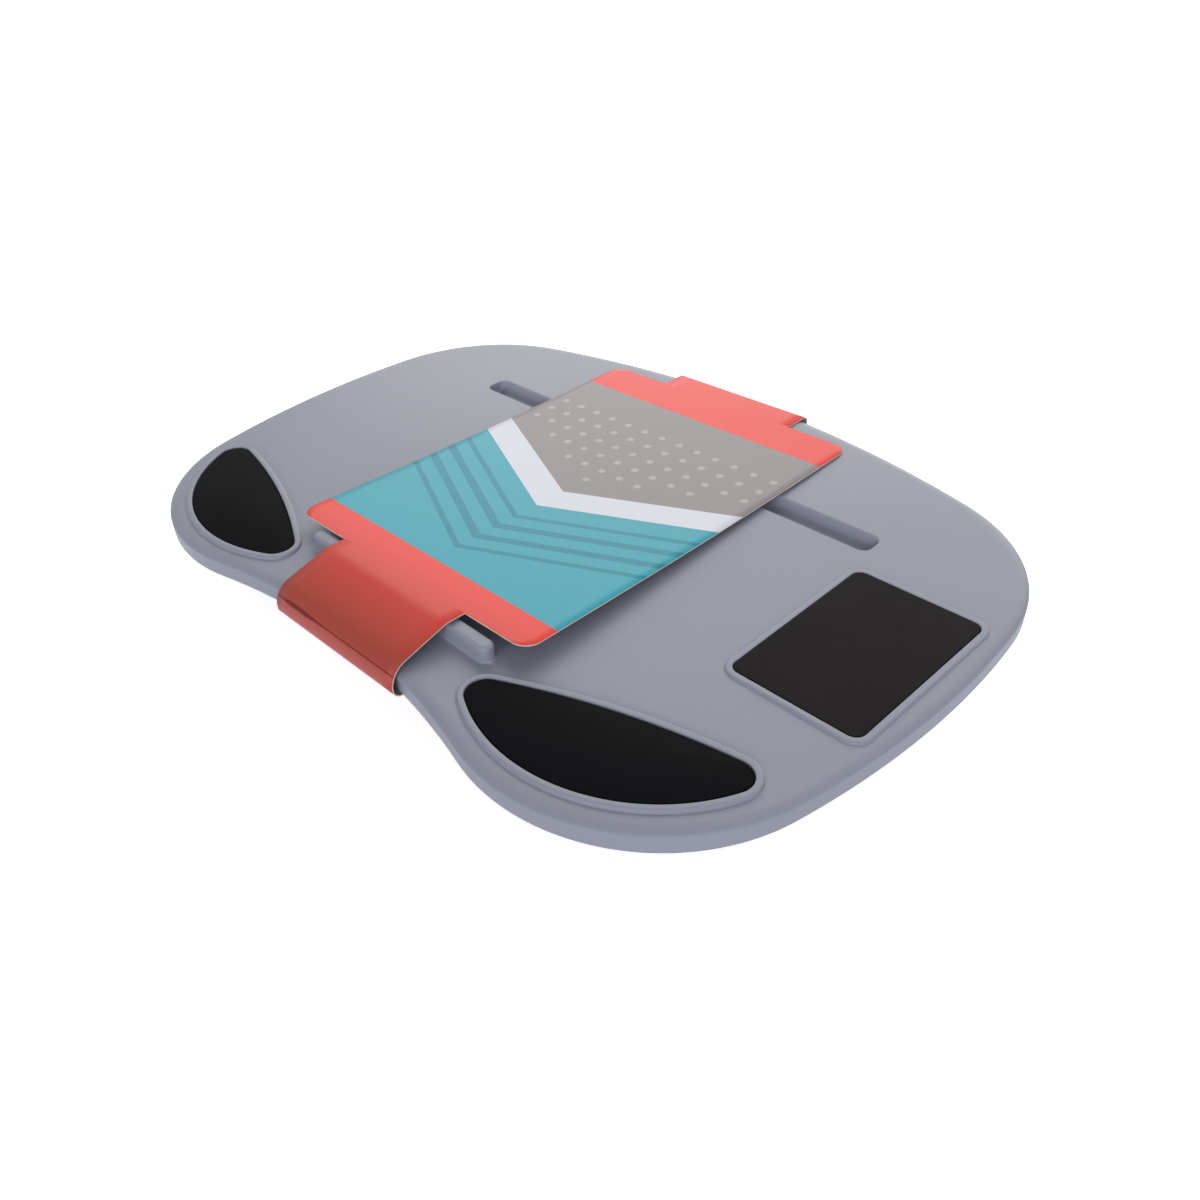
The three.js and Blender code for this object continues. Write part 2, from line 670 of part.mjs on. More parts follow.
const MOUSE_GLUE = DECK_TOP - MOUSE_POCKET_DEPTH + LAY_GAP;
const MOUSE_BASE = MOUSE_GLUE + ADHESIVE + LAY_GAP;
const MOUSE_FACE = MOUSE_BASE + MOUSE_RUBBER + LAY_GAP;

place("mouse_pad_adhesive", prism(MOUSE_OUTLINE(-ADHESIVE_INSET), MOUSE_GLUE, MOUSE_GLUE + ADHESIVE),
  FINISHES.adhesive);
place("mouse_pad_rubber", prism(MOUSE_OUTLINE(0), MOUSE_BASE, MOUSE_BASE + MOUSE_RUBBER), FINISHES.rubber);
place("mouse_pad_cloth", prism(MOUSE_OUTLINE(0), MOUSE_FACE, MOUSE_FACE + MOUSE_CLOTH), FINISHES.mouseCloth);

// Lap cushions: a crowned cover whose sides draw in between its corners, a flat top cloth and a filling

function cushionOutline(inset) {
  const across = CUSHION_WIDTH / 2 - inset;
  const along = CUSHION_LENGTH / 2 - inset;
  return Array.from({ length: CUSHION_SIDES }, (_, i) => {
    const angle = (2 * Math.PI * i) / CUSHION_SIDES;
    const u = squared(Math.cos(angle), CUSHION_SQUARENESS);
    const v = squared(Math.sin(angle), CUSHION_SQUARENESS);
    const pullX = CUSHION_DRAW_IN * (1 - v ** 2) * u;
    const pullY = CUSHION_DRAW_IN * (1 - u ** 2) * v;
    return new THREE.Vector2(across * u - pullX, along * v - pullY);
  });
}

// The side of a cushion: a quarter round up from its crown to the fullest line, then one in to its mouth
function cushionForm(inset, bottom, top) {
  const half = (top - bottom) / 2;
  const angles = Array.from({ length: CUSHION_STEPS + 1 }, (_, i) => (Math.PI / 2) * (i / CUSHION_STEPS));
  const lower = angles.map((angle) => {
    return [CUSHION_CROWN_INSET * (1 - Math.sin(angle)), half * (1 - Math.cos(angle))];
  });
  const upper = angles.slice(1).map((angle) => {
    return [CUSHION_MOUTH_INSET * (1 - Math.cos(angle)), half * (1 + Math.sin(angle))];
  });
  const sides = [...lower, ...upper];
  return sides.map(([edge, height]) => ring(cushionOutline(edge + inset), bottom + height));
}

const CLOTH_BOTTOM = CUSHION_HEIGHT - CUSHION_FABRIC;
const COVER_TOP = CLOTH_BOTTOM - LAY_GAP;

SIDES.forEach(([name, side]) => {
  const cushion = new THREE.Group();
  const x = side * (CUSHION_INNER_X + CUSHION_WIDTH / 2);
  cushion.position.set(x, CUSHION_FRONT_Y + CUSHION_LENGTH / 2, 0);
  assembly.add(cushion);
  const fillInset = CUSHION_FABRIC + FIT_GAP;
  const mouth = ring(cushionOutline(CUSHION_MOUTH_INSET + CUSHION_FABRIC), COVER_TOP + OVERSHOOT);
  const outside = solid(skin(cushionForm(0, 0, COVER_TOP)));
  const inside = solid(skin([...cushionForm(CUSHION_FABRIC, CUSHION_FABRIC, COVER_TOP - FIT_GAP), mouth]));
  const fill = skin(cushionForm(fillInset, fillInset, COVER_TOP - 2 * FIT_GAP));
  const cloth = prism(cushionOutline(CUSHION_MOUTH_INSET), CLOTH_BOTTOM, CUSHION_HEIGHT);
  const tape = rectangleOutline(new THREE.Vector2(), TAPE_WIDTH, TAPE_LENGTH, TAPE_CORNER)(0);
  place(`${name}_cushion_cover`, surface(outside.subtract(inside)), FINISHES.cushionFabric, cushion);
  place(`${name}_cushion_fill`, fill, FINISHES.fill, cushion);
  place(`${name}_cushion_base_cloth`, cloth, FINISHES.cushionFabric, cushion);
  place(`${name}_loop_tape`, prism(tape, LOOP_BOTTOM, LOOP_BOTTOM + LOOP_TAPE), FINISHES.tape, cushion);
  place(`${name}_hook_tape`, prism(tape, HOOK_BOTTOM, HOOK_BOTTOM + HOOK_TAPE), FINISHES.tape, cushion);
});

// Card sleeve: a wide panel over the bar and deck, and a strap round the front and back edges whose
// ends lap underneath

const LAP_UPPER = TRAY_BOTTOM - UNDER_CLEARANCE - SLEEVE_CARD / 2;
const LAP_LOWER = LAP_UPPER - SLEEVE_CARD - LAP_TAPE - 2 * LAY_GAP;
const LAP_BACK_Y = LAP_FRONT_Y + LAP_LENGTH;

const CREST_Z = DECK_TOP + BAR_HEIGHT + CREST_RISE;
const BACK_Z = DECK_TOP + BACK_LIFT;

function sleeveSection() {
  const path = roundedPath([
    { at: new THREE.Vector2(LAP_BACK_Y, LAP_UPPER) },
    { at: new THREE.Vector2(STRAP_FRONT_Y, LAP_UPPER), radius: UNDER_FRONT_BEND },
    { at: new THREE.Vector2(STRAP_FRONT_Y, DECK_TOP + FRONT_LIFT), radius: FRONT_BEND },
    { at: new THREE.Vector2(BAR_FRONT_Y - CREST_AHEAD, CREST_Z), radius: CREST_RADIUS },
    { at: new THREE.Vector2(SAG_Y, (CREST_Z + BACK_Z) / 2 - SAG_DEPTH), radius: SAG_RADIUS },
    { at: new THREE.Vector2(STRAP_BACK_Y, BACK_Z), radius: BACK_BEND },
    { at: new THREE.Vector2(STRAP_BACK_Y, LAP_LOWER), radius: UNDER_BACK_BEND },
    { at: new THREE.Vector2(LAP_FRONT_Y, LAP_LOWER) },
  ]);
  return strip(path, SLEEVE_CARD);
}

function sleeve() {
  const band = solid(alongX(sleeveSection(), PANEL_WIDTH));
  const frontY = BAR_FRONT_Y + BAR_WIDTH + PANEL_BEHIND_BAR;
  const backY = TRAY_DEPTH - PANEL_TO_BACK;
  const centre = new THREE.Vector2(0, (frontY + backY) / 2);
  const top = CREST_Z + OVERSHOOT;
  const panelOutline = rectangleOutline(centre, PANEL_WIDTH, backY - frontY, PANEL_CORNER)(0);
  const panel = solid(prism(panelOutline, DECK_TOP, top));
  const strapDepth = FOOTPRINT_DEPTH + 2 * OVERSHOOT;
  const strapHeight = top - LAP_LOWER + 2 * OVERSHOOT;
  const strapBox = new THREE.BoxGeometry(STRAP_WIDTH, strapDepth, strapHeight);
  strapBox.translate(0, FOOTPRINT_DEPTH / 2, (top + LAP_LOWER) / 2);
  return band.intersect(panel.add(solid(strapBox)));
}

const sleeveGroup = new THREE.Group();
sleeveGroup.position.set(SLEEVE_SHIFT, SLEEVE_PIVOT_Y, 0);
sleeveGroup.rotation.z = SLEEVE_ANGLE;
assembly.add(sleeveGroup);
place("display_sleeve", surface(sleeve()), FINISHES.card, sleeveGroup).position.y = -SLEEVE_PIVOT_Y;

const lapTapeWidth = STRAP_WIDTH - 2 * LAP_TAPE_INSET;
const lapTape = new THREE.BoxGeometry(lapTapeWidth, LAP_LENGTH - 2 * LAP_TAPE_INSET, LAP_TAPE);
const lapTapeMesh = place("sleeve_tape", lapTape, FINISHES.adhesive, sleeveGroup);
lapTapeMesh.position.set(0, LAP_FRONT_Y + LAP_LENGTH / 2 - SLEEVE_PIVOT_Y, (LAP_UPPER + LAP_LOWER) / 2);

export default assembly;
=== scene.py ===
# Looks of the tablet lap tray: the moulded deck, wrist rests, mouse pad, lap cushions, screws and card
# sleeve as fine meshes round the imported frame, with procedural finishes, a white floor and soft light.
#
# Shapes are drawn in millimetres with Y measured from the tray's front lobes and Z from the ground.
# Shape.make() turns them into metres in the row frame.

import math

import bpy
from mathutils import Matrix, Vector
from mathutils.bvhtree import BVHTree
from mathutils.geometry import tessellate_polygon


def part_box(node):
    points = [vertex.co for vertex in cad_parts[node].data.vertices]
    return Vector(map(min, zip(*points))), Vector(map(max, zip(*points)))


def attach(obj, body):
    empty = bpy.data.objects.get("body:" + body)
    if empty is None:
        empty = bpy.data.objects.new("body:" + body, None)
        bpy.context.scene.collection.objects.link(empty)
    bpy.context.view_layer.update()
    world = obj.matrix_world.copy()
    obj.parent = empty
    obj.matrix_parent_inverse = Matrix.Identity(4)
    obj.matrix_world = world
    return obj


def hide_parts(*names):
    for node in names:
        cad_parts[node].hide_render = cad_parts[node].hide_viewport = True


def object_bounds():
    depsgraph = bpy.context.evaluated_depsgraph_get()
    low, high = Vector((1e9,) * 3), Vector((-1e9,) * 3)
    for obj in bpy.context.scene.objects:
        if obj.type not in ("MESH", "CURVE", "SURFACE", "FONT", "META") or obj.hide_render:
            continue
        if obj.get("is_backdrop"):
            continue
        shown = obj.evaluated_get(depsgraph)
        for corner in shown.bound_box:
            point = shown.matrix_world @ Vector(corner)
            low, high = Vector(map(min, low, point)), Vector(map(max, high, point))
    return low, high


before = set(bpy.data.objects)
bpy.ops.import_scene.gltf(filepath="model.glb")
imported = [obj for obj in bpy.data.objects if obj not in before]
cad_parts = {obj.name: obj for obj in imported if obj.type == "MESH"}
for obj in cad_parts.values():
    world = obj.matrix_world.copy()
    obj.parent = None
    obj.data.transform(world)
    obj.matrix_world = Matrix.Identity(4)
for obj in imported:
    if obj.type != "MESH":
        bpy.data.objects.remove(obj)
CAD_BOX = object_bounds()
MM = 0.001

# Places that the frame gives
HALF_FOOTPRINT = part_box("display_sleeve")[1].y / MM
TRAY_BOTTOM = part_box("deck_shell")[0].z / MM
PANEL_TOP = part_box("base_panel")[1].z / MM

# Tray outline
TRAY_WIDTH = 450
TRAY_DEPTH = 325
TRAY_HEIGHT = 12
BACK_RADIUS = 547
CORNER_RADIUS = 94.5
LOBE_RADIUS = 94.5
LOBE_INSET = 8
WAIST_DEPTH = 16.2
WIDEST_FROM_BACK = 155.5

# Deck moulding
DECK_TOP = TRAY_BOTTOM + TRAY_HEIGHT
RIM_REACH = 7
RIM_DROP = 2.5
RIM_EASE = 12
FOOT_RADIUS = 2.5
DECK_WALL = 3
SKIRT_WALL = 4
SKIRT_EDGE = 0.5
SUPPORT = 0.4
FIT_GAP = 0.3
LAY_GAP = 0.1
BEAD_WIDTH = 3.4
BEAD_SLOPE = 1.3
BEAD_FILLET = 0.3
BEAD_LIP = 0.4
LIP_STEPS = 4
PAD_BEAD_HEIGHT = 1.8
MOUSE_BEAD_HEIGHT = 1.2

# Tablet groove
GROOVE_LENGTH = 284
GROOVE_FLOOR = 11.4
GROOVE_DEPTH = 7.2
GROOVE_LEAN = math.radians(26)
GROOVE_TO_BACK = 80.7
GROOVE_END_RADIUS = 5
GROOVE_FILLET = 2.2
GROOVE_BACK_LIP = 1.6
GROOVE_LIP = 0.45
GROOVE_DRAFT = 0.3
GROOVE_WALL = 1.9
GROOVE_MARGIN = 1.5
GROOVE_WALL_SHARES = (0.25, 0.4, 0.55, 0.7)
TROUGH_EDGE = 0.6

# Keyboard stop bar
BAR_LENGTH = 139
BAR_WIDTH = 8.4
BAR_HEIGHT = 8.5
BAR_FRONT_Y = 44.4
BAR_END_RADIUS = 4
BAR_EDGE_RADIUS = 2.2
BAR_FILLET = 0.9

# Painted highlight: a pale spot painted on the deck, beside the bar's right end
HIGHLIGHT_FROM_END = 0.9
HIGHLIGHT_FROM_FRONT = 2.8
HIGHLIGHT_CORE = 0.4
HIGHLIGHT_REACH = 1.4
HIGHLIGHT_STRENGTH = 0.4

# Wrist rests
PAD_FROM_SIDE = 86
PAD_Y = 39.4
PAD_TILT = math.radians(17.65)
PAD_FRONT_RADIUS = 83
PAD_BACK_RADIUS = 357
PAD_BREADTH = 47.5
PAD_SKEW = 5
PAD_END_RADIUS = 9.3
PAD_POCKET_DEPTH = 1.6
PAD_EDGE_RISE = 1.5
PAD_EDGE_RADIUS = 1.1
PAD_CROWN = 3
PAD_LIFT = 0.4
PAD_BASE = DECK_TOP - PAD_POCKET_DEPTH + PAD_LIFT

# Mouse pad
MOUSE_WIDTH = 64
MOUSE_LENGTH = 97.4
MOUSE_CORNER = 4.9
MOUSE_FROM_SIDE = 12.65
MOUSE_FROM_BACK = 160.5
MOUSE_POCKET_DEPTH = 1.2
MOUSE_EDGE_RADIUS = 0.35
MOUSE_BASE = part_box("mouse_pad_rubber")[0].z / MM
MOUSE_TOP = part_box("mouse_pad_cloth")[1].z / MM

# Screws under the base panel
SCREW_HEAD_RADIUS = 3
SCREW_HEAD = 1
SCREW_RADIUS = 1.4
SCREW_CHAMFER = 0.25
SCREW_POINT = 0.8
BOSS_RADIUS = 3.7
PILOT_RADIUS = 1.7
RECESS_REACH = 1.7
RECESS_ARM = 0.35
RECESS_DEPTH = 0.6
RECESS_TAPER = 0.75
SCREW_SIDES = 32

# Lap cushions
CUSHION_HEIGHT = 30
CUSHION_WIDTH = 105
CUSHION_LENGTH = 215
CUSHION_INNER_X = 80
CUSHION_FRONT_Y = 52
CUSHION_SQUARENESS = 5
CUSHION_DRAW_IN = 3
CUSHION_MOUTH_INSET = 10
CUSHION_CROWN_INSET = 16
CUSHION_SWELL = 2.5
CUSHION_SIDES = 120
CUSHION_STEPS = 8
CUSHION_VOXEL = 5
PRESSURE = 4
PRESSURE_FRAMES = 20
SWELL_CAP = 6
PIPING_RADIUS = 1.1
PIPING_HEIGHT = 27.6
PIPING_SIDES = 10

# Card sleeve
SLEEVE_CARD = 0.6
SLEEVE_SHIFT = -4.6
SLEEVE_TURN = math.radians(1.35)
SLEEVE_PIVOT_Y = 163
STRAP_WIDTH = 93.4
PANEL_WIDTH = 174
PANEL_CORNER = 9
PANEL_BEHIND_BAR = 0.9
PANEL_TO_BACK = 17.8
FRONT_STANDOFF = 7.2
BACK_STANDOFF = 1.9
FRONT_LIFT = 2.3
BACK_LIFT = 0.5
UNDER_CLEARANCE = 0.4
CREST_AHEAD = 1.6
CREST_RISE = 2.3
CREST_RADIUS = 20
SAG_Y = 185
SAG_DEPTH = 2.5
SAG_RADIUS = 4000
FRONT_BEND = 12
BACK_BEND = 4.3
UNDER_FRONT_BEND = 5
UNDER_BACK_BEND = 2.5
CREASE_DROP = 0.8
LAP_FRONT_Y = 140
LAP_LENGTH = 50
LAP_TAPE = 0.2
STRAP_COLUMNS = 12
WING_COLUMNS = 8
STATION_SPACING = 5
SAME_STATION = 1e-4
EDGE_SLACK = 1e-3

# Facet sizes of round stretches
OUTLINE_SPACING = 3
CORNER_SPACING = 0.8
FACETS_PER_RADIAN = 8
ROUND_STEPS = 10
LEAST_BEND_STEPS = 4
SHARP_ANGLE = math.radians(40)

# Camera, fitted to the photograph: place in millimetres from the tray's front, angles in degrees
PHOTO_SIZE = 1200
CAMERA_FOCAL_PIXELS = 1047.5
CAMERA_CENTRE_PIXEL = 510.3
CAMERA_TARGET = Vector((41.9, 84.52, 44.7))
CAMERA_DISTANCE = 503
CAMERA_AZIMUTH = 50.96
CAMERA_ELEVATION = 37.0
CAMERA_ROLL = -4.95
SENSOR = 36
CLIP_START = 0.01

# Plan positions
WIDEST_Y = TRAY_DEPTH - WIDEST_FROM_BACK
LOBE_X = TRAY_WIDTH / 2 - LOBE_INSET - LOBE_RADIUS
GROOVE_SLOPE = GROOVE_DEPTH * math.tan(GROOVE_LEAN)
GROOVE_BACK_Y = TRAY_DEPTH - GROOVE_TO_BACK
GROOVE_FRONT_Y = GROOVE_BACK_Y - GROOVE_SLOPE - GROOVE_FLOOR
MOUSE_X = TRAY_WIDTH / 2 - MOUSE_FROM_SIDE - MOUSE_WIDTH / 2
MOUSE_Y = TRAY_DEPTH - MOUSE_FROM_BACK
SIDES = {"left": -1, "right": 1}


# Outlines are chains of arcs, so a parallel outline only changes the radii

def direction(start, end):
    return math.atan2(end.y - start.y, end.x - start.x)


def on_circle(centre, radius, angle):
    return Vector((centre.x + radius * math.cos(angle), centre.y + radius * math.sin(angle)))


# The crossing of two circles that lies to the left of the way from the first centre to the second
def circles_meet(first, first_radius, second, second_radius):
    span = (second - first).length
    along = (span ** 2 + first_radius ** 2 - second_radius ** 2) / (2 * span)
    across = math.sqrt(first_radius ** 2 - along ** 2)
    way = (second - first) / span
    return first + way * along + Vector((-way.y, way.x)) * across


# Points of an arc, parallel to it at an offset; the last point belongs to the next arc unless asked for
def arc_points(piece, offset, last=False):
    centre, radius, start, end = piece
    spacing = min(OUTLINE_SPACING, max(CORNER_SPACING, radius / FACETS_PER_RADIAN))
    steps = max(2, math.ceil(abs(end - start) * radius / spacing))
    grown = radius + math.copysign(1, end - start) * offset
    shares = [i / steps for i in range(steps + (1 if last else 0))]
    return [on_circle(centre, grown, start + (end - start) * share) for share in shares]


def tray_chain():
    reach = TRAY_WIDTH / 2 - LOBE_X
    rise = WIDEST_Y - LOBE_RADIUS
    side_radius = (reach ** 2 + rise ** 2 - LOBE_RADIUS ** 2) / (2 * (reach - LOBE_RADIUS))
    hollow = LOBE_RADIUS - WAIST_DEPTH
    waist_radius = (LOBE_X ** 2 + hollow ** 2 - LOBE_RADIUS ** 2) / (2 * WAIST_DEPTH)
    waist = Vector((0, WAIST_DEPTH - waist_radius))
    lobe = Vector((LOBE_X, LOBE_RADIUS))
    side = Vector((TRAY_WIDTH / 2 - side_radius, WIDEST_Y))
    back = Vector((0, TRAY_DEPTH - BACK_RADIUS))
    corner = circles_meet(side, side_radius - CORNER_RADIUS, back, BACK_RADIUS - CORNER_RADIUS)
    upright = math.pi / 2
    lobe_start = direction(waist, lobe)
    return [
        (waist, waist_radius, upright, lobe_start),
        (lobe, LOBE_RADIUS, lobe_start - math.pi, direction(side, lobe)),
        (side, side_radius, direction(side, lobe), direction(side, corner)),
        (corner, CORNER_RADIUS, direction(side, corner), direction(back, corner)),
        (back, BACK_RADIUS, direction(back, corner), upright),
    ]


TRAY_CHAIN = tray_chain()


def tray_outline(offset):
    right = [point for piece in TRAY_CHAIN for point in arc_points(piece, offset)]
    back_middle = Vector((0, TRAY_DEPTH + offset))
    left = [Vector((-point.x, point.y)) for point in reversed(right[1:])]
    return [*right, back_middle, *left]


def pad_centre(side):
    return Vector((side * (TRAY_WIDTH / 2 - PAD_FROM_SIDE), PAD_Y))


# The right wrist rest's outline, or the left one's as its mirror image
def pad_outline(side):
    front = Vector((0, PAD_FRONT_RADIUS - PAD_BREADTH / 2))
    back = Vector((PAD_SKEW, PAD_BREADTH / 2 - PAD_BACK_RADIUS))
    front_reach = PAD_FRONT_RADIUS - PAD_END_RADIUS
    back_reach = PAD_BACK_RADIUS - PAD_END_RADIUS
    ends = [
        circles_meet(back, back_reach, front, front_reach),
        circles_meet(front, front_reach, back, back_reach),
    ]
    inner, outer = sorted(ends, key=lambda end: end.x)
    front_from = direction(front, inner) % (2 * math.pi)
    front_to = direction(front, outer) % (2 * math.pi)
    back_from = direction(back, outer)
    back_to = direction(back, inner)
    chain = [
        (front, PAD_FRONT_RADIUS, front_from, front_to),
        (outer, PAD_END_RADIUS, front_to - 2 * math.pi, back_from),
        (back, PAD_BACK_RADIUS, back_from, back_to),
        (inner, PAD_END_RADIUS, back_to, front_from),
    ]
    turn = Matrix.Rotation(PAD_TILT, 2)

    def outline(offset):
        points = [turn @ point + pad_centre(1) for piece in chain for point in arc_points(piece, offset)]
        if side > 0:
            return points
        return [Vector((-point.x, point.y)) for point in reversed(points)]

    return outline


def rectangle_outline(centre, width, length, radius):
    corners = [(1, -1), (1, 1), (-1, 1), (-1, -1)]
    reach = Vector((width / 2 - radius, length / 2 - radius))
    chain = []
    for i, (sign_x, sign_y) in enumerate(corners):
        corner = Vector((centre.x + sign_x * reach.x, centre.y + sign_y * reach.y))
        start = (i - 1) * math.pi / 2
        chain.append((corner, radius, start, start + math.pi / 2))

    def outline(offset):
        return [point for piece in chain for point in arc_points(piece, offset, last=True)]

    return outline


def circle_outline(centre, radius):
    def outline(offset):
        angles = [2 * math.pi * i / SCREW_SIDES for i in range(SCREW_SIDES)]
        return [on_circle(centre, radius + offset, angle) for angle in angles]

    return outline


def quarter_turn(steps):
    return [math.pi / 2 * i / steps for i in range(steps + 1)]


# Offsets and heights of a quarter round or ellipse that climbs from a wall to a flat top
def round_over(reach, top, drop=None, steps=ROUND_STEPS):
    fall = reach if drop is None else drop
    return [(-reach * (1 - math.cos(a)), top - fall * (1 - math.sin(a))) for a in quarter_turn(steps)]


# Offsets and heights of a fillet that leads from a flat floor up to a wall
def fillet(radius, floor):
    angles = quarter_turn(ROUND_STEPS // 2)
    return [(radius * (1 - math.sin(a)), floor + radius * (1 - math.cos(a))) for a in angles]


# Meshes are gathered ring by ring. Rings run counterclockwise, and each band faces the way that a walk
# from its first ring to its second has on its right-hand side when the ring is followed.

class Shape:
    def __init__(self):
        self.points = []
        self.faces = []

    def ring(self, points, height=None):
        first = len(self.points)
        for point in points:
            self.points.append(Vector(point) if height is None else Vector((point.x, point.y, height)))
        return list(range(first, len(self.points)))

    def rings(self, outline, profile):
        return [self.ring(outline(offset), height) for offset, height in profile]

    def band(self, start, end):
        for i in range(len(start)):
            j = (i + 1) % len(start)
            self.faces.append((start[i], start[j], end[j], end[i]))

    def bands(self, rings):
        for start, end in zip(rings, rings[1:]):
            self.band(start, end)

    # A flat area between an outer loop and the holes in it
    def fill(self, loops, up=True):
        order = [index for loop in loops for index in loop]
        polygons = [[self.points[index] for index in loop] for loop in loops]
        for corners in tessellate_polygon(polygons):
            a, b, c = (order[corner] for corner in corners)
            facing = (self.points[b] - self.points[a]).cross(self.points[c] - self.points[a]).z
            self.faces.append((a, b, c) if (facing > 0) == up else (a, c, b))

    # A fan from a ring to its middle
    def cap(self, ring, middle):
        centre = self.ring([middle])[0]
        for i in range(len(ring)):
            self.faces.append((ring[i], ring[(i + 1) % len(ring)], centre))

    # A closed tube along a closed loop of points
    def tube(self, path, radius, sides):
        rings = []
        for i, point in enumerate(path):
            ahead = (path[(i + 1) % len(path)] - path[i - 1]).normalized()
            across = ahead.cross(Vector((0, 0, 1))).normalized()
            rise = across.cross(ahead)
            turns = [2 * math.pi * k / sides for k in range(sides)]
            offsets = [across * (radius * math.cos(a)) + rise * (radius * math.sin(a)) for a in turns]
            rings.append(self.ring([point + offset for offset in offsets]))
        self.bands([*rings, rings[0]])

    def make(self, name, *materials):
        mesh = bpy.data.meshes.new(name)
        metres = [(p.x * MM, (p.y - HALF_FOOTPRINT) * MM, p.z * MM) for p in self.points]
        mesh.from_pydata(metres, [], self.faces)
        piece = bpy.data.objects.new(name, mesh)
        bpy.context.scene.collection.objects.link(piece)
        for material in materials:
            mesh.materials.append(material)
        smooth(mesh)
        return piece


def smooth(mesh):
    mesh.polygons.foreach_set("use_smooth", [True] * len(mesh.polygons))
    mesh.set_sharp_from_angle(angle=SHARP_ANGLE)
    mesh.update()


def add_piece(piece, body, slot, *nodes):
    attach(piece, body)
    if nodes:
        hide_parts(*nodes)
    return piece


# Finishes

def srgb(red, green, blue):
    def linear(level):
        share = level / 255
        return share / 12.92 if share <= 0.04045 else ((share + 0.055) / 1.055) ** 2.4

    return (linear(red), linear(green), linear(blue), 1)


class Finish:
    def __init__(self, name, **sockets):
        self.material = bpy.data.materials.new(name)
        self.material.use_nodes = True
        self.tree = self.material.node_tree
        self.surface = self.tree.nodes["Principled BSDF"]
        self.place = self.node("TexCoord").outputs["Object"]
        for key, value in sockets.items():
            self.feed(self.surface.inputs[key.replace("_", " ")], value)

    def feed(self, socket, value):
        if isinstance(value, bpy.types.NodeSocket):
            self.tree.links.new(value, socket)
        else:
            socket.default_value = value

    def node(self, kind, inputs=None, **settings):
        made = self.tree.nodes.new("ShaderNode" + kind)
        for key, value in settings.items():
            setattr(made, key, value)
        for key, value in (inputs or {}).items():
            self.feed(made.inputs[key], value)
        return made

    def math(self, operation, first, second=0.0):
        return self.node("Math", {0: first, 1: second}, operation=operation).outputs[0]

    def noise(self, size_mm, detail=2.0, place=None):
        inputs = {"Vector": place or self.place, "Scale": 1 / (size_mm * MM), "Detail": detail}
        return self.node("TexNoise", inputs).outputs["Fac"]

    # A share from 0 to 1 as a value goes from one bound to the other
    def span(self, value, low, high, start=0.0, end=1.0):
        inputs = {"Value": value, "From Min": low, "From Max": high, "To Min": start, "To Max": end}
        return self.node("MapRange", inputs).outputs["Result"]

    def mix(self, share, first, second):
        made = self.node("Mix", {0: share, 6: first, 7: second}, data_type="RGBA")
        return made.outputs[2]

    def parts(self, vector):
        made = self.node("SeparateXYZ", {0: vector})
        return made.outputs

    def bump(self, height, depth_mm, strength=1.0):
        inputs = {"Height": height, "Distance": depth_mm * MM, "Strength": strength}
        self.feed(self.surface.inputs["Normal"], self.node("Bump", inputs).outputs["Normal"])

    def colour(self, value):
        self.feed(self.surface.inputs["Base Color"], value)

    def roughness(self, value):
        self.feed(self.surface.inputs["Roughness"], value)

    # Crossing threads of a fabric, from 0 in the gaps to 1 on the threads
    def threads(self, pitch_mm):
        x, y, z = self.parts(self.place)
        turns = 2 * math.pi / (pitch_mm * MM)
        warp = self.math("SINE", self.math("MULTIPLY", self.math("ADD", x, z), turns))
        weft = self.math("SINE", self.math("MULTIPLY", self.math("ADD", y, z), turns))
        return self.span(self.math("MULTIPLY", warp, weft), -1.0, 1.0)

    # Bright specks, such as lint, one in some of the cells of a loose grid, most of which are empty
    def specks(self, spacing_mm, size_mm, empty=0.72):
        inputs = {"Vector": self.place, "Scale": 1 / (spacing_mm * MM)}
        cells = self.node("TexVoronoi", inputs)
        reach = size_mm / spacing_mm
        near = self.span(cells.outputs["Distance"], reach / 2, reach, 1.0, 0.0)
        red = self.parts(cells.outputs["Color"])[0]
        return self.math("MULTIPLY", near, self.math("GREATER_THAN", red, empty))


# Middle of the painted highlight beside the bar's right end
HIGHLIGHT_Y = BAR_FRONT_Y + HIGHLIGHT_FROM_FRONT
PAINTED_HIGHLIGHT_SPOT = Vector((BAR_LENGTH / 2 + HIGHLIGHT_FROM_END, HIGHLIGHT_Y - HALF_FOOTPRINT, DECK_TOP))


def deck_plastic():
    finish = Finish("deck_plastic", IOR=1.5, Specular_IOR_Level=0.3)
    tone = finish.span(finish.noise(170, 1.0), 0.35, 0.65)
    grey = finish.mix(tone, srgb(136, 139, 149), srgb(140, 143, 153))
    # Painted highlight: the grey turns paler near a spot beside the bar's right end
    away = finish.node("VectorMath", {0: finish.place, 1: PAINTED_HIGHLIGHT_SPOT * MM}, operation="DISTANCE")
    mark = finish.span(away.outputs["Value"], HIGHLIGHT_CORE * MM, HIGHLIGHT_REACH * MM, HIGHLIGHT_STRENGTH, 0.0)
    finish.colour(finish.mix(mark, grey, srgb(198, 198, 200)))
    grain = finish.noise(0.55, 3.0)
    finish.roughness(finish.span(grain, 0.3, 0.7, 0.4, 0.5))
    finish.bump(grain, 0.03)
    return finish.material


def panel_plastic():
    finish = Finish("panel_plastic", IOR=1.48)
    grain = finish.node("TexVoronoi", {"Vector": finish.place, "Scale": 1 / (1.1 * MM)}).outputs["Distance"]
    tone = finish.span(finish.noise(60), 0.3, 0.7)
    finish.colour(finish.mix(tone, srgb(72, 74, 78), srgb(80, 82, 86)))
    finish.roughness(finish.span(grain, 0.0, 0.8, 0.5, 0.66))
    finish.bump(grain, 0.08)
    return finish.material


def screw_steel():
    finish = Finish("screw_steel", Metallic=1.0)
    tarnish = finish.noise(1.5, 3.0)
    finish.colour(finish.mix(finish.span(tarnish, 0.35, 0.7), srgb(176, 178, 180), srgb(150, 150, 148)))
    finish.roughness(finish.span(tarnish, 0.3, 0.7, 0.24, 0.42))
    finish.bump(finish.noise(0.3), 0.01)
    return finish.material


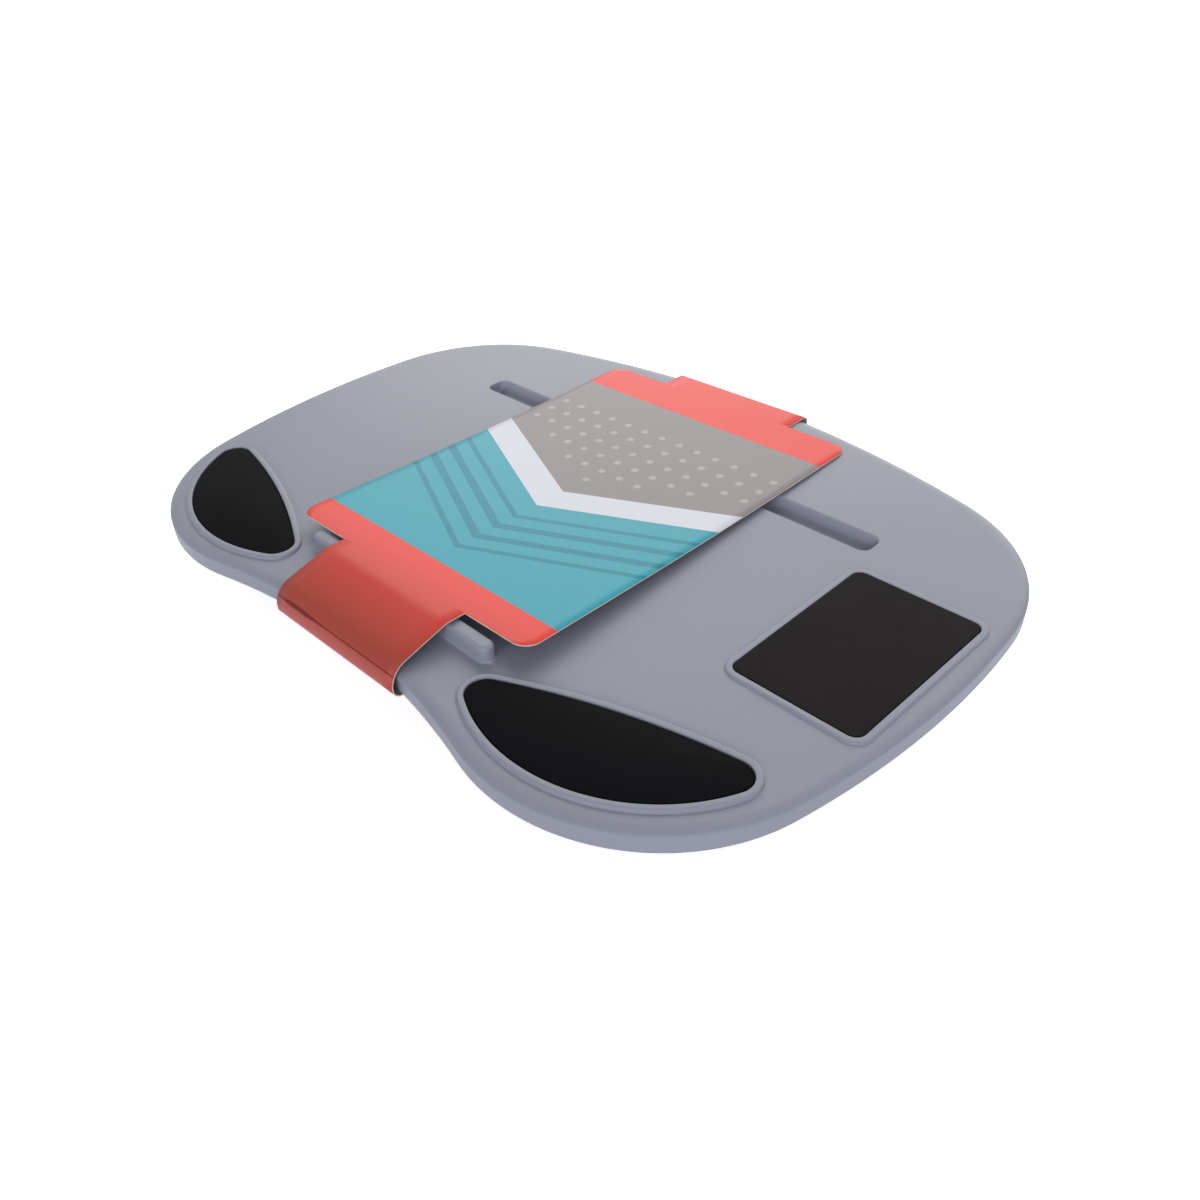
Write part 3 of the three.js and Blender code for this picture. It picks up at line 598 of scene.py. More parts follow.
def wrist_knit():
    finish = Finish("wrist_knit", Specular_IOR_Level=0.06)
    threads = finish.threads(0.55)
    worn = finish.span(finish.noise(22), 0.35, 0.7)
    base = finish.mix(worn, srgb(9, 9, 11), srgb(13, 13, 15))
    knit = finish.mix(finish.math("MULTIPLY", threads, 0.5), base, srgb(19, 19, 22))
    finish.colour(finish.mix(finish.specks(13, 0.35), knit, srgb(150, 150, 150)))
    finish.roughness(finish.span(threads, 0.0, 1.0, 0.92, 0.8))
    finish.bump(threads, 0.06)
    return finish.material


def mouse_cloth():
    finish = Finish("mouse_cloth", Specular_IOR_Level=0.08)
    threads = finish.threads(0.4)
    worn = finish.span(finish.noise(30), 0.3, 0.7)
    base = finish.mix(worn, srgb(24, 21, 21), srgb(29, 26, 26))
    finish.colour(finish.mix(finish.math("MULTIPLY", threads, 0.4), base, srgb(35, 32, 32)))
    finish.roughness(finish.span(threads, 0.0, 1.0, 0.85, 0.72))
    finish.bump(threads, 0.03)
    return finish.material


def cushion_fabric():
    finish = Finish("cushion_fabric", Sheen_Weight=0.15, Specular_IOR_Level=0.2)
    threads = finish.threads(1.1)
    worn = finish.span(finish.noise(18, 3.0), 0.3, 0.7)
    base = finish.mix(worn, srgb(40, 41, 45), srgb(50, 51, 56))
    finish.colour(finish.mix(finish.math("MULTIPLY", threads, 0.6), base, srgb(66, 67, 72)))
    finish.roughness(finish.span(threads, 0.0, 1.0, 0.95, 0.82))
    finish.bump(threads, 0.15)
    return finish.material


def piping_fabric():
    finish = Finish("piping_fabric", Sheen_Weight=0.1, Specular_IOR_Level=0.2)
    threads = finish.threads(0.7)
    finish.colour(finish.mix(threads, srgb(30, 31, 34), srgb(48, 49, 53)))
    finish.roughness(finish.span(threads, 0.0, 1.0, 0.95, 0.85))
    finish.bump(threads, 0.1)
    return finish.material


def fastener_tape():
    finish = Finish("fastener_tape", Sheen_Weight=0.3, Specular_IOR_Level=0.2)
    fuzz = finish.noise(0.5, 4.0)
    finish.colour(finish.mix(finish.span(fuzz, 0.3, 0.7), srgb(18, 18, 20), srgb(46, 46, 50)))
    finish.roughness(finish.span(fuzz, 0.3, 0.7, 0.95, 0.85))
    finish.bump(fuzz, 0.4)
    return finish.material


def adhesive_film():
    finish = Finish("adhesive_film", IOR=1.45)
    crinkle = finish.noise(4, 3.0)
    finish.colour(finish.mix(finish.span(crinkle, 0.3, 0.7), srgb(216, 211, 196), srgb(228, 224, 212)))
    finish.roughness(finish.span(crinkle, 0.3, 0.7, 0.4, 0.6))
    finish.bump(crinkle, 0.05)
    return finish.material


# Print of the card sleeve: coral ends, a teal field with chevrons and a warm grey field with dots, which
# meet in a wide pale chevron. Places are in millimetres across and along the card.
CORAL = srgb(240, 82, 72)
# Darker coral, painted shade on the front strap
CORAL_SHADED = srgb(164, 70, 56)
# Darker coral, painted shade on the drop below the fold
CORAL_DROP_SHADED = srgb(174, 79, 70)
# Dark red, painted shade along the fold of the front strap
CREASE_SHADE_RED = srgb(108, 26, 20)
PALE = srgb(222, 224, 229)
TEAL = srgb(70, 168, 181)
TEAL_DEEP = srgb(46, 142, 158)
WARM_GREY = srgb(150, 143, 141)
GREY_PALE = srgb(178, 172, 169)
PRINT_SOFT = 0.12
CORAL_FRONT = 20
CORAL_BACK = 226
CHEVRON_LEAN = 0.5
CHEVRON_FROM = 92
CHEVRON_TO = 112
STRIPE_PITCH = 7
STRIPE_PLAIN = 0.62
STRIPES_FROM = 34
STRIPES_TO = 78
DOT_PITCH = 6.5
DOT_RADIUS = 2.1
DOTS_FROM = 128
DOTS_TO = 204
SHADE_FROM = 12
SHADE_TO = -40
DROP_SOFT = 1.5
UNDER_FROM = 14
UNDER_TO = 30
CREASE_THIN = 0.35
CREASE_SWELL = 0.8
CREASE_SOFT = 0.2
# How dark the painted shade along the fold gets
CREASE_SHADE_STRENGTH = 0.95
SWELL_LEFT = (-46, -36)
SWELL_RIGHT = (-6, -24)


def card_print():
    finish = Finish("card_print", IOR=1.5, Specular_IOR_Level=0.15)
    spot = finish.node("UVMap", uv_map="print").outputs["UV"]
    across, along, _ = (finish.math("DIVIDE", part, MM) for part in finish.parts(spot))

    def past(value, bound):
        return finish.span(value, bound - PRINT_SOFT, bound + PRINT_SOFT)

    def both(first, second):
        return finish.math("MULTIPLY", first, second)

    def between(value, low, high):
        return both(past(value, low), finish.math("SUBTRACT", 1.0, past(value, high)))

    # Distance along the card from a chevron whose point is on the middle line
    aside = finish.math("MULTIPLY", finish.math("ABSOLUTE", across), CHEVRON_LEAN)
    chevron = finish.math("SUBTRACT", along, aside)
    stripe = past(finish.math("PINGPONG", chevron, STRIPE_PITCH), STRIPE_PITCH * STRIPE_PLAIN)
    stripes = both(stripe, between(chevron, STRIPES_FROM, STRIPES_TO))
    dot_x = finish.math("PINGPONG", across, DOT_PITCH)
    dot_y = finish.math("PINGPONG", along, DOT_PITCH)
    dot_reach = finish.math("SQRT", finish.math("ADD", both(dot_x, dot_x), both(dot_y, dot_y)))
    dots = finish.math("SUBTRACT", 1.0, past(dot_reach, DOT_RADIUS))
    dots = both(dots, both(past(chevron, DOTS_FROM), finish.math("SUBTRACT", 1.0, past(along, DOTS_TO))))

    teal = finish.mix(stripes, TEAL, TEAL_DEEP)
    grey = finish.mix(dots, WARM_GREY, GREY_PALE)
    field = finish.mix(past(chevron, CHEVRON_TO), teal, grey)
    field = finish.mix(between(chevron, CHEVRON_FROM, CHEVRON_TO), field, PALE)

    # Painted shade: the front strap gets darker towards the fold, a darker coral colours the drop below the
    # fold, and the coral is plain again under the tray
    under = finish.span(along, CREASE_ALONG - UNDER_FROM, CREASE_ALONG - UNDER_TO)
    coral = finish.mix(finish.span(along, SHADE_FROM, SHADE_TO), CORAL, CORAL_SHADED)
    coral = finish.mix(finish.span(along, CREASE_ALONG, CREASE_ALONG - DROP_SOFT), coral, CORAL_DROP_SHADED)
    coral = finish.mix(under, coral, CORAL)
    field = finish.mix(between(along, CORAL_FRONT, CORAL_BACK), coral, field)

    # Painted shade in the fold where the strap was creased, widest in its left third
    swell = both(finish.span(across, *SWELL_LEFT), finish.span(across, *SWELL_RIGHT))
    reach = finish.math("ADD", CREASE_THIN, finish.math("MULTIPLY", swell, CREASE_SWELL))
    gap = finish.math("ABSOLUTE", finish.math("SUBTRACT", along, CREASE_ALONG))
    past_reach = finish.math("SUBTRACT", gap, reach)
    # Painted shade: a dark red line along the fold
    fold_shade = finish.span(past_reach, -CREASE_SOFT, CREASE_SOFT, CREASE_SHADE_STRENGTH, 0.0)
    fibre = finish.noise(0.7, 4.0)
    finish.colour(finish.mix(fold_shade, field, CREASE_SHADE_RED))
    finish.roughness(finish.span(fibre, 0.3, 0.7, 0.34, 0.46))
    finish.bump(finish.math("ADD", fibre, finish.noise(14)), 0.02)
    return finish.material


# Grey board of the card's inner side, its colour darkened as painted shade so that the gap under the panel
# looks dark
def card_board():
    finish = Finish("card_board", Specular_IOR_Level=0.25)
    fibre = finish.noise(0.8, 4.0)
    finish.colour(finish.mix(finish.span(fibre, 0.3, 0.7), srgb(112, 108, 103), srgb(130, 126, 120)))
    finish.roughness(finish.span(fibre, 0.3, 0.7, 0.75, 0.9))
    finish.bump(fibre, 0.04)
    return finish.material


def card_core():
    finish = Finish("card_core", Specular_IOR_Level=0.2)
    fibre = finish.noise(0.4, 3.0)
    finish.colour(finish.mix(finish.span(fibre, 0.3, 0.7), srgb(212, 198, 176), srgb(230, 220, 204)))
    finish.roughness(finish.span(fibre, 0.3, 0.7, 0.8, 0.95))
    finish.bump(fibre, 0.05)
    return finish.material


# Deck: rim, beads round the pads, groove, stop bar, and below them the skirt, trough and screw bosses

PAD_OUTLINES = {name: pad_outline(side) for name, side in SIDES.items()}
MOUSE_OUTLINE = rectangle_outline(Vector((MOUSE_X, MOUSE_Y)), MOUSE_WIDTH, MOUSE_LENGTH, MOUSE_CORNER)
GROOVE_CENTRE = Vector((0, (GROOVE_FRONT_Y + GROOVE_BACK_Y) / 2))
GROOVE_WIDTH = GROOVE_BACK_Y - GROOVE_FRONT_Y
GROOVE_OUTLINE = rectangle_outline(GROOVE_CENTRE, GROOVE_LENGTH, GROOVE_WIDTH, GROOVE_END_RADIUS)
SCREW_NODES = [f"base_screw_{i + 1}" for i in range(8)]


def screw_centre(node):
    low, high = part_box(node)
    middle = (low + high) / (2 * MM)
    return Vector((middle.x, middle.y + HALF_FOOTPRINT))


# A low ridge round a pocket, with a rounded outer side and a flat top, down to the pocket's floor; returns
# its first ring
def bead(shape, outline, depth, height):
    foot = fillet(BEAD_FILLET, DECK_TOP)
    side = round_over(BEAD_SLOPE, DECK_TOP + height, height - BEAD_FILLET)[1:]
    deck = (BEAD_FILLET + SUPPORT, DECK_TOP)
    slope = [(FIT_GAP + BEAD_WIDTH + offset, z) for offset, z in (deck, *foot, *side)]
    inner = reversed(round_over(BEAD_LIP, DECK_TOP + height, steps=LIP_STEPS))
    lip = [(FIT_GAP - offset, top) for offset, top in inner]
    floor = DECK_TOP - depth
    rings = shape.rings(outline, [*slope, *lip, (FIT_GAP, floor), (-SUPPORT, floor)])
    shape.bands(rings)
    shape.fill([rings[-1]])
    return rings[0]


# The groove's back wall leans back and has a soft lip; its front and ends are steep and crisp
def groove(shape):
    edge = GROOVE_OUTLINE(0)
    normals = [outer - inner for outer, inner in zip(GROOVE_OUTLINE(1), edge)]
    floor = DECK_TOP - GROOVE_DEPTH

    def ring(lip_share, lip_drop, inset=0, height=None):
        points = []
        for point, normal in zip(edge, normals):
            back = max(0, normal.y) ** 2
            lip = GROOVE_LIP + (GROOVE_BACK_LIP - GROOVE_LIP) * back
            z = DECK_TOP - lip * lip_drop if height is None else height
            fall = (DECK_TOP - z) / GROOVE_DEPTH
            place = point + normal * (lip * lip_share - GROOVE_DRAFT * fall - inset)
            place.y -= GROOVE_SLOPE * back * fall
            points.append((place.x, place.y, z))
        return shape.ring(points)

    quarter = quarter_turn(ROUND_STEPS)
    rings = [ring(GROOVE_MARGIN, 0)]
    rings += [ring(1 - math.sin(a), 1 - math.cos(a)) for a in quarter]
    rings += [ring(0, 0, height=DECK_TOP - GROOVE_DEPTH * fall) for fall in GROOVE_WALL_SHARES]
    for a in quarter:
        height = floor + GROOVE_FILLET * (1 - math.sin(a))
        rings.append(ring(0, 0, GROOVE_FILLET * (1 - math.cos(a)), height))
    shape.bands(rings)
    shape.fill([rings[-1]])
    return rings[0]


def stop_bar(shape):
    centre = Vector((0, BAR_FRONT_Y + BAR_WIDTH / 2))
    outline = rectangle_outline(centre, BAR_LENGTH, BAR_WIDTH, BAR_END_RADIUS)
    wall_top = DECK_TOP + BAR_HEIGHT - BAR_EDGE_RADIUS
    edge = round_over(BAR_EDGE_RADIUS, DECK_TOP + BAR_HEIGHT)
    top = (-BAR_EDGE_RADIUS - SUPPORT, DECK_TOP + BAR_HEIGHT)
    deck = (BAR_FILLET + SUPPORT, DECK_TOP)
    profile = [deck, *fillet(BAR_FILLET, DECK_TOP), (0, wall_top - SUPPORT), *edge, top]
    rings = shape.rings(outline, profile)
    shape.bands(rings)
    shape.fill([rings[-1]])
    return rings[0]


# A hollow post round a screw; returns the ring where it meets the deck's underside
def boss(shape, node, under):
    centre = screw_centre(node)
    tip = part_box(node)[1].z / MM + FIT_GAP
    low = PANEL_TOP + LAY_GAP
    pilot = circle_outline(centre, PILOT_RADIUS)
    post = circle_outline(centre, BOSS_RADIUS)
    rings = [*shape.rings(pilot, [(0, tip), (0, low)]), *shape.rings(post, [(0, low), (0, under)])]
    shape.bands(rings)
    shape.fill([rings[0]], up=False)
    return rings[-1]


# The groove's outer side under the deck; returns the ring where it meets the deck's underside
def trough(shape, under):
    low = DECK_TOP - GROOVE_DEPTH - GROOVE_WALL
    edge = (GROOVE_WALL - TROUGH_EDGE, low)
    rings = shape.rings(GROOVE_OUTLINE, [edge, (GROOVE_WALL, low + TROUGH_EDGE), (GROOVE_WALL, under)])
    shape.bands(rings)
    shape.fill([rings[0]], up=False)
    return rings[-1]


# The rim's fall is narrower where a bead stands close to the edge
def rim_rings(shape):
    edge = tray_outline(0)
    inward = [inner - outer for outer, inner in zip(edge, tray_outline(-1))]
    foot = FIT_GAP + BEAD_WIDTH + BEAD_FILLET + SUPPORT
    feet = [point for outline in (*PAD_OUTLINES.values(), MOUSE_OUTLINE) for point in outline(foot)]
    reach = [min(RIM_REACH, min((point - other).length for other in feet) - 2 * SUPPORT) for point in edge]
    reach = [min(near_places(reach, i, 2 * RIM_EASE)) for i in range(len(edge))]
    reach = [sum(near_places(reach, i, RIM_EASE)) / (2 * RIM_EASE + 1) for i in range(len(edge))]
    profile = [*round_over(1, DECK_TOP, RIM_DROP, 3 * ROUND_STEPS), (-1 - SUPPORT / RIM_REACH, DECK_TOP)]
    return [
        shape.ring([point - step * (share * part) for point, step, share in zip(edge, inward, reach)], top)
        for part, top in profile
    ]


# The values at a place of a closed loop and at its neighbours on both sides
def near_places(values, place, count):
    return [values[(place + i) % len(values)] for i in range(-count, count + 1)]


def make_deck(material):
    shape = Shape()
    under = DECK_TOP - DECK_WALL
    foot = round_over(FOOT_RADIUS, TRAY_BOTTOM, -FOOT_RADIUS)
    profile = [
        (-SKIRT_WALL, under),
        (-SKIRT_WALL, TRAY_BOTTOM + SKIRT_EDGE),
        (-SKIRT_WALL + SKIRT_EDGE, TRAY_BOTTOM),
        *reversed(foot),
        (0, TRAY_BOTTOM + FOOT_RADIUS + SUPPORT),
        (0, DECK_TOP - RIM_DROP - SUPPORT),
    ]
    rings = [*shape.rings(tray_outline, profile), *rim_rings(shape)]
    shape.bands(rings)
    pads = PAD_OUTLINES.values()
    features = [bead(shape, outline, PAD_POCKET_DEPTH, PAD_BEAD_HEIGHT) for outline in pads]
    features.append(bead(shape, MOUSE_OUTLINE, MOUSE_POCKET_DEPTH, MOUSE_BEAD_HEIGHT))
    features.append(groove(shape))
    features.append(stop_bar(shape))
    shape.fill([rings[-1], *features])
    posts = [boss(shape, node, under) for node in SCREW_NODES]
    shape.fill([rings[0], trough(shape, under), *posts], up=False)
    return add_piece(shape.make("tray_deck", material), "tray", "deck_plastic", "deck_shell")


# Wrist rests: crowned foam under a tight knit cover

def make_wrist_rest(name, side, material):
    shape = Shape()
    outline = PAD_OUTLINES[name]
    centre = pad_centre(side)
    edge_top = DECK_TOP + PAD_EDGE_RISE
    walls = [(-SUPPORT, PAD_BASE), (0, PAD_BASE + SUPPORT), *round_over(PAD_EDGE_RADIUS, edge_top)]
    rings = shape.rings(outline, walls)
    rim = outline(-PAD_EDGE_RADIUS)
    steps = 2 * ROUND_STEPS
    for i in range(1, steps):
        share = 1 - i / steps
        height = edge_top + PAD_CROWN * (1 - share ** 2)
        rings.append(shape.ring([centre + (point - centre) * share for point in rim], height))
    shape.bands(rings)
    shape.cap(rings[-1], (centre.x, centre.y, edge_top + PAD_CROWN))
    shape.fill([rings[0]], up=False)
    piece = shape.make(f"{name}_wrist_rest", material)
    nodes = [f"{name}_wrist_pad_cover", f"{name}_wrist_pad_foam"]
    add_piece(piece, "tray", "wrist_knit", *nodes)


def make_mouse_pad(material):
    shape = Shape()
    edge = round_over(MOUSE_EDGE_RADIUS, MOUSE_TOP, steps=LIP_STEPS)
    top = (-MOUSE_EDGE_RADIUS - SUPPORT, MOUSE_TOP)
    rings = shape.rings(MOUSE_OUTLINE, [(0, MOUSE_BASE), *edge, top])
    shape.bands(rings)
    shape.fill([rings[0]], up=False)
    shape.fill([rings[-1]])
    piece = shape.make("mouse_pad", material)
    add_piece(piece, "tray", "mouse_cloth", "mouse_pad_cloth", "mouse_pad_rubber")


# Screws: flat heads with a cross recess

def recess_outline(centre, scale):
    reach = RECESS_REACH * scale
    arm = RECESS_ARM * scale
    quarter = [Vector((reach, -arm)), Vector((reach, arm)), Vector((arm, arm))]
    turns = [Matrix.Rotation(i * math.pi / 2, 2) for i in range(4)]
    return [centre + turn @ point for turn in turns for point in quarter]


def make_screw(node, material):
    shape = Shape()
    centre = screw_centre(node)
    low, high = (corner.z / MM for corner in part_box(node))
    head_top = low + SCREW_HEAD
    profile = [
        (SCREW_HEAD_RADIUS - SCREW_CHAMFER, low),
        (SCREW_HEAD_RADIUS, low + SCREW_CHAMFER),
        (SCREW_HEAD_RADIUS, head_top),
        (SCREW_RADIUS, head_top),
        (SCREW_RADIUS, high - SCREW_POINT),
    ]
    rings = shape.rings(circle_outline(centre, 0), profile)
    shape.bands(rings)
    shape.cap(rings[-1], (centre.x, centre.y, high))
    pit = shape.ring(recess_outline(centre, RECESS_TAPER), low + RECESS_DEPTH)
    mouth = shape.ring(recess_outline(centre, 1), low)
    shape.band(pit, mouth)
    shape.fill([pit], up=False)
    shape.fill([rings[0], mouth], up=False)
    add_piece(shape.make(node.replace("base_screw", "panel_screw"), material), "tray", "screw_steel", node)


# Lap cushions: a sewn cover blown up from inside, flat where it meets the tray and the lap

def cushion_outline(inset):
    across = CUSHION_WIDTH / 2 - inset
    along = CUSHION_LENGTH / 2 - inset
    centre = Vector((CUSHION_INNER_X + CUSHION_WIDTH / 2, CUSHION_FRONT_Y + CUSHION_LENGTH / 2))
    points = []
    for i in range(CUSHION_SIDES):
        angle = 2 * math.pi * i / CUSHION_SIDES
        u = math.copysign(abs(math.cos(angle)) ** (2 / CUSHION_SQUARENESS), math.cos(angle))
        v = math.copysign(abs(math.sin(angle)) ** (2 / CUSHION_SQUARENESS), math.sin(angle))
        pull = Vector((CUSHION_DRAW_IN * (1 - v * v) * u, CUSHION_DRAW_IN * (1 - u * u) * v))
        points.append(centre + Vector((across * u, along * v)) - pull)
    return points


def cushion_shape():
    shape = Shape()
    half = CUSHION_HEIGHT / 2
    quarter = quarter_turn(CUSHION_STEPS)
    lower = [(CUSHION_CROWN_INSET * (1 - math.sin(a)), half * (1 - math.cos(a))) for a in quarter]
    upper = [(CUSHION_MOUTH_INSET * (1 - math.cos(a)), half * (1 + math.sin(a))) for a in quarter[1:]]
    profile = [*lower, *upper]
    rings = [shape.ring(cushion_outline(inset + CUSHION_SWELL), height) for inset, height in profile]
    shape.bands(rings)
    shape.fill([rings[0]], up=False)
    shape.fill([rings[-1]])
    return shape


def apply_modifiers(piece):
    graph = bpy.context.evaluated_depsgraph_get()
    made = bpy.data.meshes.new_from_object(piece.evaluated_get(graph))
    piece.modifiers.clear()
    piece.data = made


# Cloth under pressure: each point moves at most the cap, and stays between the ground and the tray
def blow_up(piece):
    start = [vertex.co.copy() for vertex in piece.data.vertices]
    cloth = piece.modifiers.new("cloth", "CLOTH")
    cloth.settings.use_pressure = True
    cloth.settings.uniform_pressure_force = PRESSURE
    cloth.settings.effector_weights.gravity = 0
    cloth.point_cache.frame_start = 1
    cloth.point_cache.frame_end = PRESSURE_FRAMES
    for step in range(1, PRESSURE_FRAMES + 1):
        bpy.context.scene.frame_set(step)
    apply_modifiers(piece)
    bpy.context.scene.frame_set(1)
    for vertex, before in zip(piece.data.vertices, start):
        move = vertex.co - before
        if move.length > SWELL_CAP * MM:
            move *= SWELL_CAP * MM / move.length
        vertex.co = before + move
        vertex.co.z = min(max(vertex.co.z, 0), CUSHION_HEIGHT * MM)


# The cushion's surface seen from its middle at one height, where the piping is sewn on
def piping_path(piece):
    tree = BVHTree.FromObject(piece, bpy.context.evaluated_depsgraph_get())
    low, high = (Vector(piece.bound_box[0]), Vector(piece.bound_box[6]))
    middle = (low + high) / 2
    middle.z = PIPING_HEIGHT * MM
    path = []
    for point in cushion_outline(0):
        target = Vector((point.x * MM, (point.y - HALF_FOOTPRINT) * MM, middle.z))
        hit = tree.ray_cast(middle, (target - middle).normalized())[0]
        place = hit if hit else target
        path.append(Vector((place.x / MM, place.y / MM + HALF_FOOTPRINT, PIPING_HEIGHT)))
    return path


def mirrored(piece, name):
    mesh = piece.data.copy()
    mesh.transform(Matrix.Scale(-1, 4, (1, 0, 0)))
    mesh.flip_normals()
    mesh.name = name
    twin = bpy.data.objects.new(name, mesh)
    bpy.context.scene.collection.objects.link(twin)
    return twin


def make_cushions(fabric, piping):
    right = cushion_shape().make("right_lap_cushion", fabric)
    remesh = right.modifiers.new("remesh", "REMESH")
    remesh.mode = "VOXEL"
    remesh.voxel_size = CUSHION_VOXEL * MM
    apply_modifiers(right)
    blow_up(right)
    right.modifiers.new("fine", "SUBSURF").levels = 1
    apply_modifiers(right)
    right.data.materials.clear()
    right.data.materials.append(fabric)
    smooth(right.data)
    cord = Shape()
    cord.tube(piping_path(right), PIPING_RADIUS, PIPING_SIDES)
    right_piping = cord.make("right_cushion_piping", piping)
    pieces = {"right": (right, right_piping)}
    pieces["left"] = (mirrored(right, "left_lap_cushion"), mirrored(right_piping, "left_cushion_piping"))
    for name, (cushion, trim) in pieces.items():
        nodes = [f"{name}_cushion_{part}" for part in ("cover", "fill", "base_cloth")]
        add_piece(cushion, "tray", "cushion_fabric", *nodes)
        add_piece(trim, "tray", "cushion_fabric")


# Card sleeve: a path in Y and Z round the tray, then stations along it and columns across it

def rounded_path(corners):
    points = []
    for i, (at, radius) in enumerate(corners):
        if not radius:
            points.append(at)
            continue
        arriving = (at - corners[i - 1][0]).normalized()
        leaving = (corners[i + 1][0] - at).normalized()
        turn = math.atan2(arriving.x * leaving.y - arriving.y * leaving.x, arriving.dot(leaving))
        start = at - arriving * (radius * math.tan(abs(turn) / 2))
        centre = start + Vector((-arriving.y, arriving.x)) * math.copysign(radius, turn)
        steps = max(LEAST_BEND_STEPS, math.ceil(abs(turn) * ROUND_STEPS / (math.pi / 2)))
        for step in range(steps + 1):
            points.append(centre + Matrix.Rotation(turn * step / steps, 2) @ (start - centre))
    return points


PANEL_FRONT_Y = BAR_FRONT_Y + BAR_WIDTH + PANEL_BEHIND_BAR
PANEL_BACK_Y = TRAY_DEPTH - PANEL_TO_BACK


def sleeve_path():
    front = WAIST_DEPTH - FRONT_STANDOFF - SLEEVE_CARD / 2
    back = TRAY_DEPTH + BACK_STANDOFF + SLEEVE_CARD / 2
    upper = TRAY_BOTTOM - UNDER_CLEARANCE - SLEEVE_CARD / 2
    lower = upper - SLEEVE_CARD - LAP_TAPE - 2 * LAY_GAP
    crest_z = DECK_TOP + BAR_HEIGHT + CREST_RISE
    back_z = DECK_TOP + BACK_LIFT
    return rounded_path([
        (Vector((LAP_FRONT_Y + LAP_LENGTH, upper)), 0),
        (Vector((front, upper)), UNDER_FRONT_BEND),
        (Vector((front, DECK_TOP + FRONT_LIFT)), FRONT_BEND),
        (Vector((BAR_FRONT_Y - CREST_AHEAD, crest_z)), CREST_RADIUS),
        (Vector((SAG_Y, (crest_z + back_z) / 2 - SAG_DEPTH)), SAG_RADIUS),
        (Vector((back, back_z)), BACK_BEND),
        (Vector((back, lower)), UNDER_BACK_BEND),
        (Vector((LAP_FRONT_Y, lower)), 0),
    ])


SLEEVE_PATH = sleeve_path()
SLEEVE_RUNS = [(after - before).length for before, after in zip(SLEEVE_PATH, SLEEVE_PATH[1:])]


# How far along the path one of its coordinates first passes a level, from the front bend on
def length_at(axis, level):
    reached = 0
    for before, after, run in zip(SLEEVE_PATH, SLEEVE_PATH[1:], SLEEVE_RUNS):
        rising = after.y > before.y or before.y > DECK_TOP
        if rising and before[axis] <= level <= after[axis]:
            return reached + run * (level - before[axis]) / (after[axis] - before[axis])
        reached += run
    return reached


PANEL_START = length_at(0, PANEL_FRONT_Y)
PANEL_LENGTH = length_at(0, PANEL_BACK_Y) - PANEL_START
CREASE_ALONG = length_at(1, DECK_TOP - CREASE_DROP) - PANEL_START


# Stations: distance along the path from the panel's front edge, and the place in Y and Z
def sleeve_stations():
    corner = [PANEL_CORNER * (1 - math.cos(a)) for a in quarter_turn(ROUND_STEPS)]
    marks = [*corner, *(PANEL_LENGTH - step for step in corner)]
    reached = 0
    for run in SLEEVE_RUNS:
        pieces = max(1, math.ceil(run / STATION_SPACING))
        marks += [reached + run * i / pieces - PANEL_START for i in range(pieces)]
        reached += run
    marks.append(reached - PANEL_START)
    marks.sort()
    kept = [mark for i, mark in enumerate(marks) if i == 0 or mark - marks[i - 1] > SAME_STATION]
    stations = []
    for mark in kept:
        left = mark + PANEL_START
        index = 0
        while index < len(SLEEVE_RUNS) - 1 and left > SLEEVE_RUNS[index]:
            left -= SLEEVE_RUNS[index]
            index += 1
        share = min(left / SLEEVE_RUNS[index], 1)
        stations.append((mark, SLEEVE_PATH[index].lerp(SLEEVE_PATH[index + 1], share)))
    return stations


# Half the width of the panel at a distance from its front edge, or none beside the straps
def wing_reach(mark):
    inside = min(mark, PANEL_LENGTH - mark)
    if inside < -EDGE_SLACK:
        return None
    short = max(0, PANEL_CORNER - inside)
    return PANEL_WIDTH / 2 - PANEL_CORNER + math.sqrt(max(0, PANEL_CORNER ** 2 - short ** 2))


def sleeve_columns(mark):
    half = STRAP_WIDTH / 2
    strap = [half * (2 * i / STRAP_COLUMNS - 1) for i in range(STRAP_COLUMNS + 1)]
    reach = wing_reach(mark)
    if reach is None:
        return [None] * WING_COLUMNS + strap + [None] * WING_COLUMNS
    wing = [half + (reach - half) * (i + 1) / WING_COLUMNS for i in range(WING_COLUMNS)]
    return [-x for x in reversed(wing)] + strap + wing


# A point of the sleeve, which lies a little turned on the tray
def sleeve_point(x, place):
    pivot = Vector((0, SLEEVE_PIVOT_Y))
    turned = Matrix.Rotation(SLEEVE_TURN, 2) @ (Vector((x, place.x)) - pivot) + pivot
    return Vector((SLEEVE_SHIFT + turned.x, turned.y, place.y))


def make_sleeve(printed, board, core):
    shape = Shape()
    grid = []
    spots = {}
    for mark, place in sleeve_stations():
        row = []
        for x in sleeve_columns(mark):
            if x is None:
                row.append(None)
                continue
            index = len(shape.points)
            shape.points.append(sleeve_point(x, place))
            spots[index] = (x * MM, mark * MM)
            row.append(index)
        grid.append(row)
    for row, following in zip(grid, grid[1:]):
        for j in range(len(row) - 1):
            corners = (row[j], row[j + 1], following[j + 1], following[j])
            if None not in corners:
                shape.faces.append(corners)
    piece = shape.make("card_sleeve", printed, board, core)
    layer = piece.data.uv_layers.new(name="print")
    for loop in piece.data.loops:
        layer.data[loop.index].uv = spots[loop.vertex_index]
    thick = piece.modifiers.new("thickness", "SOLIDIFY")
    thick.thickness = SLEEVE_CARD * MM
    thick.offset = 0
    thick.material_offset = 1
    thick.material_offset_rim = 2
    apply_modifiers(piece)
    add_piece(piece, "sleeve", "sleeve_card", "display_sleeve")


def dress_nodes(material, *nodes):
    for node in nodes:
        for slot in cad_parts[node].material_slots:
            slot.material = material


# Stage: a white floor that keeps the object's shadow, soft lamps and the photograph's camera

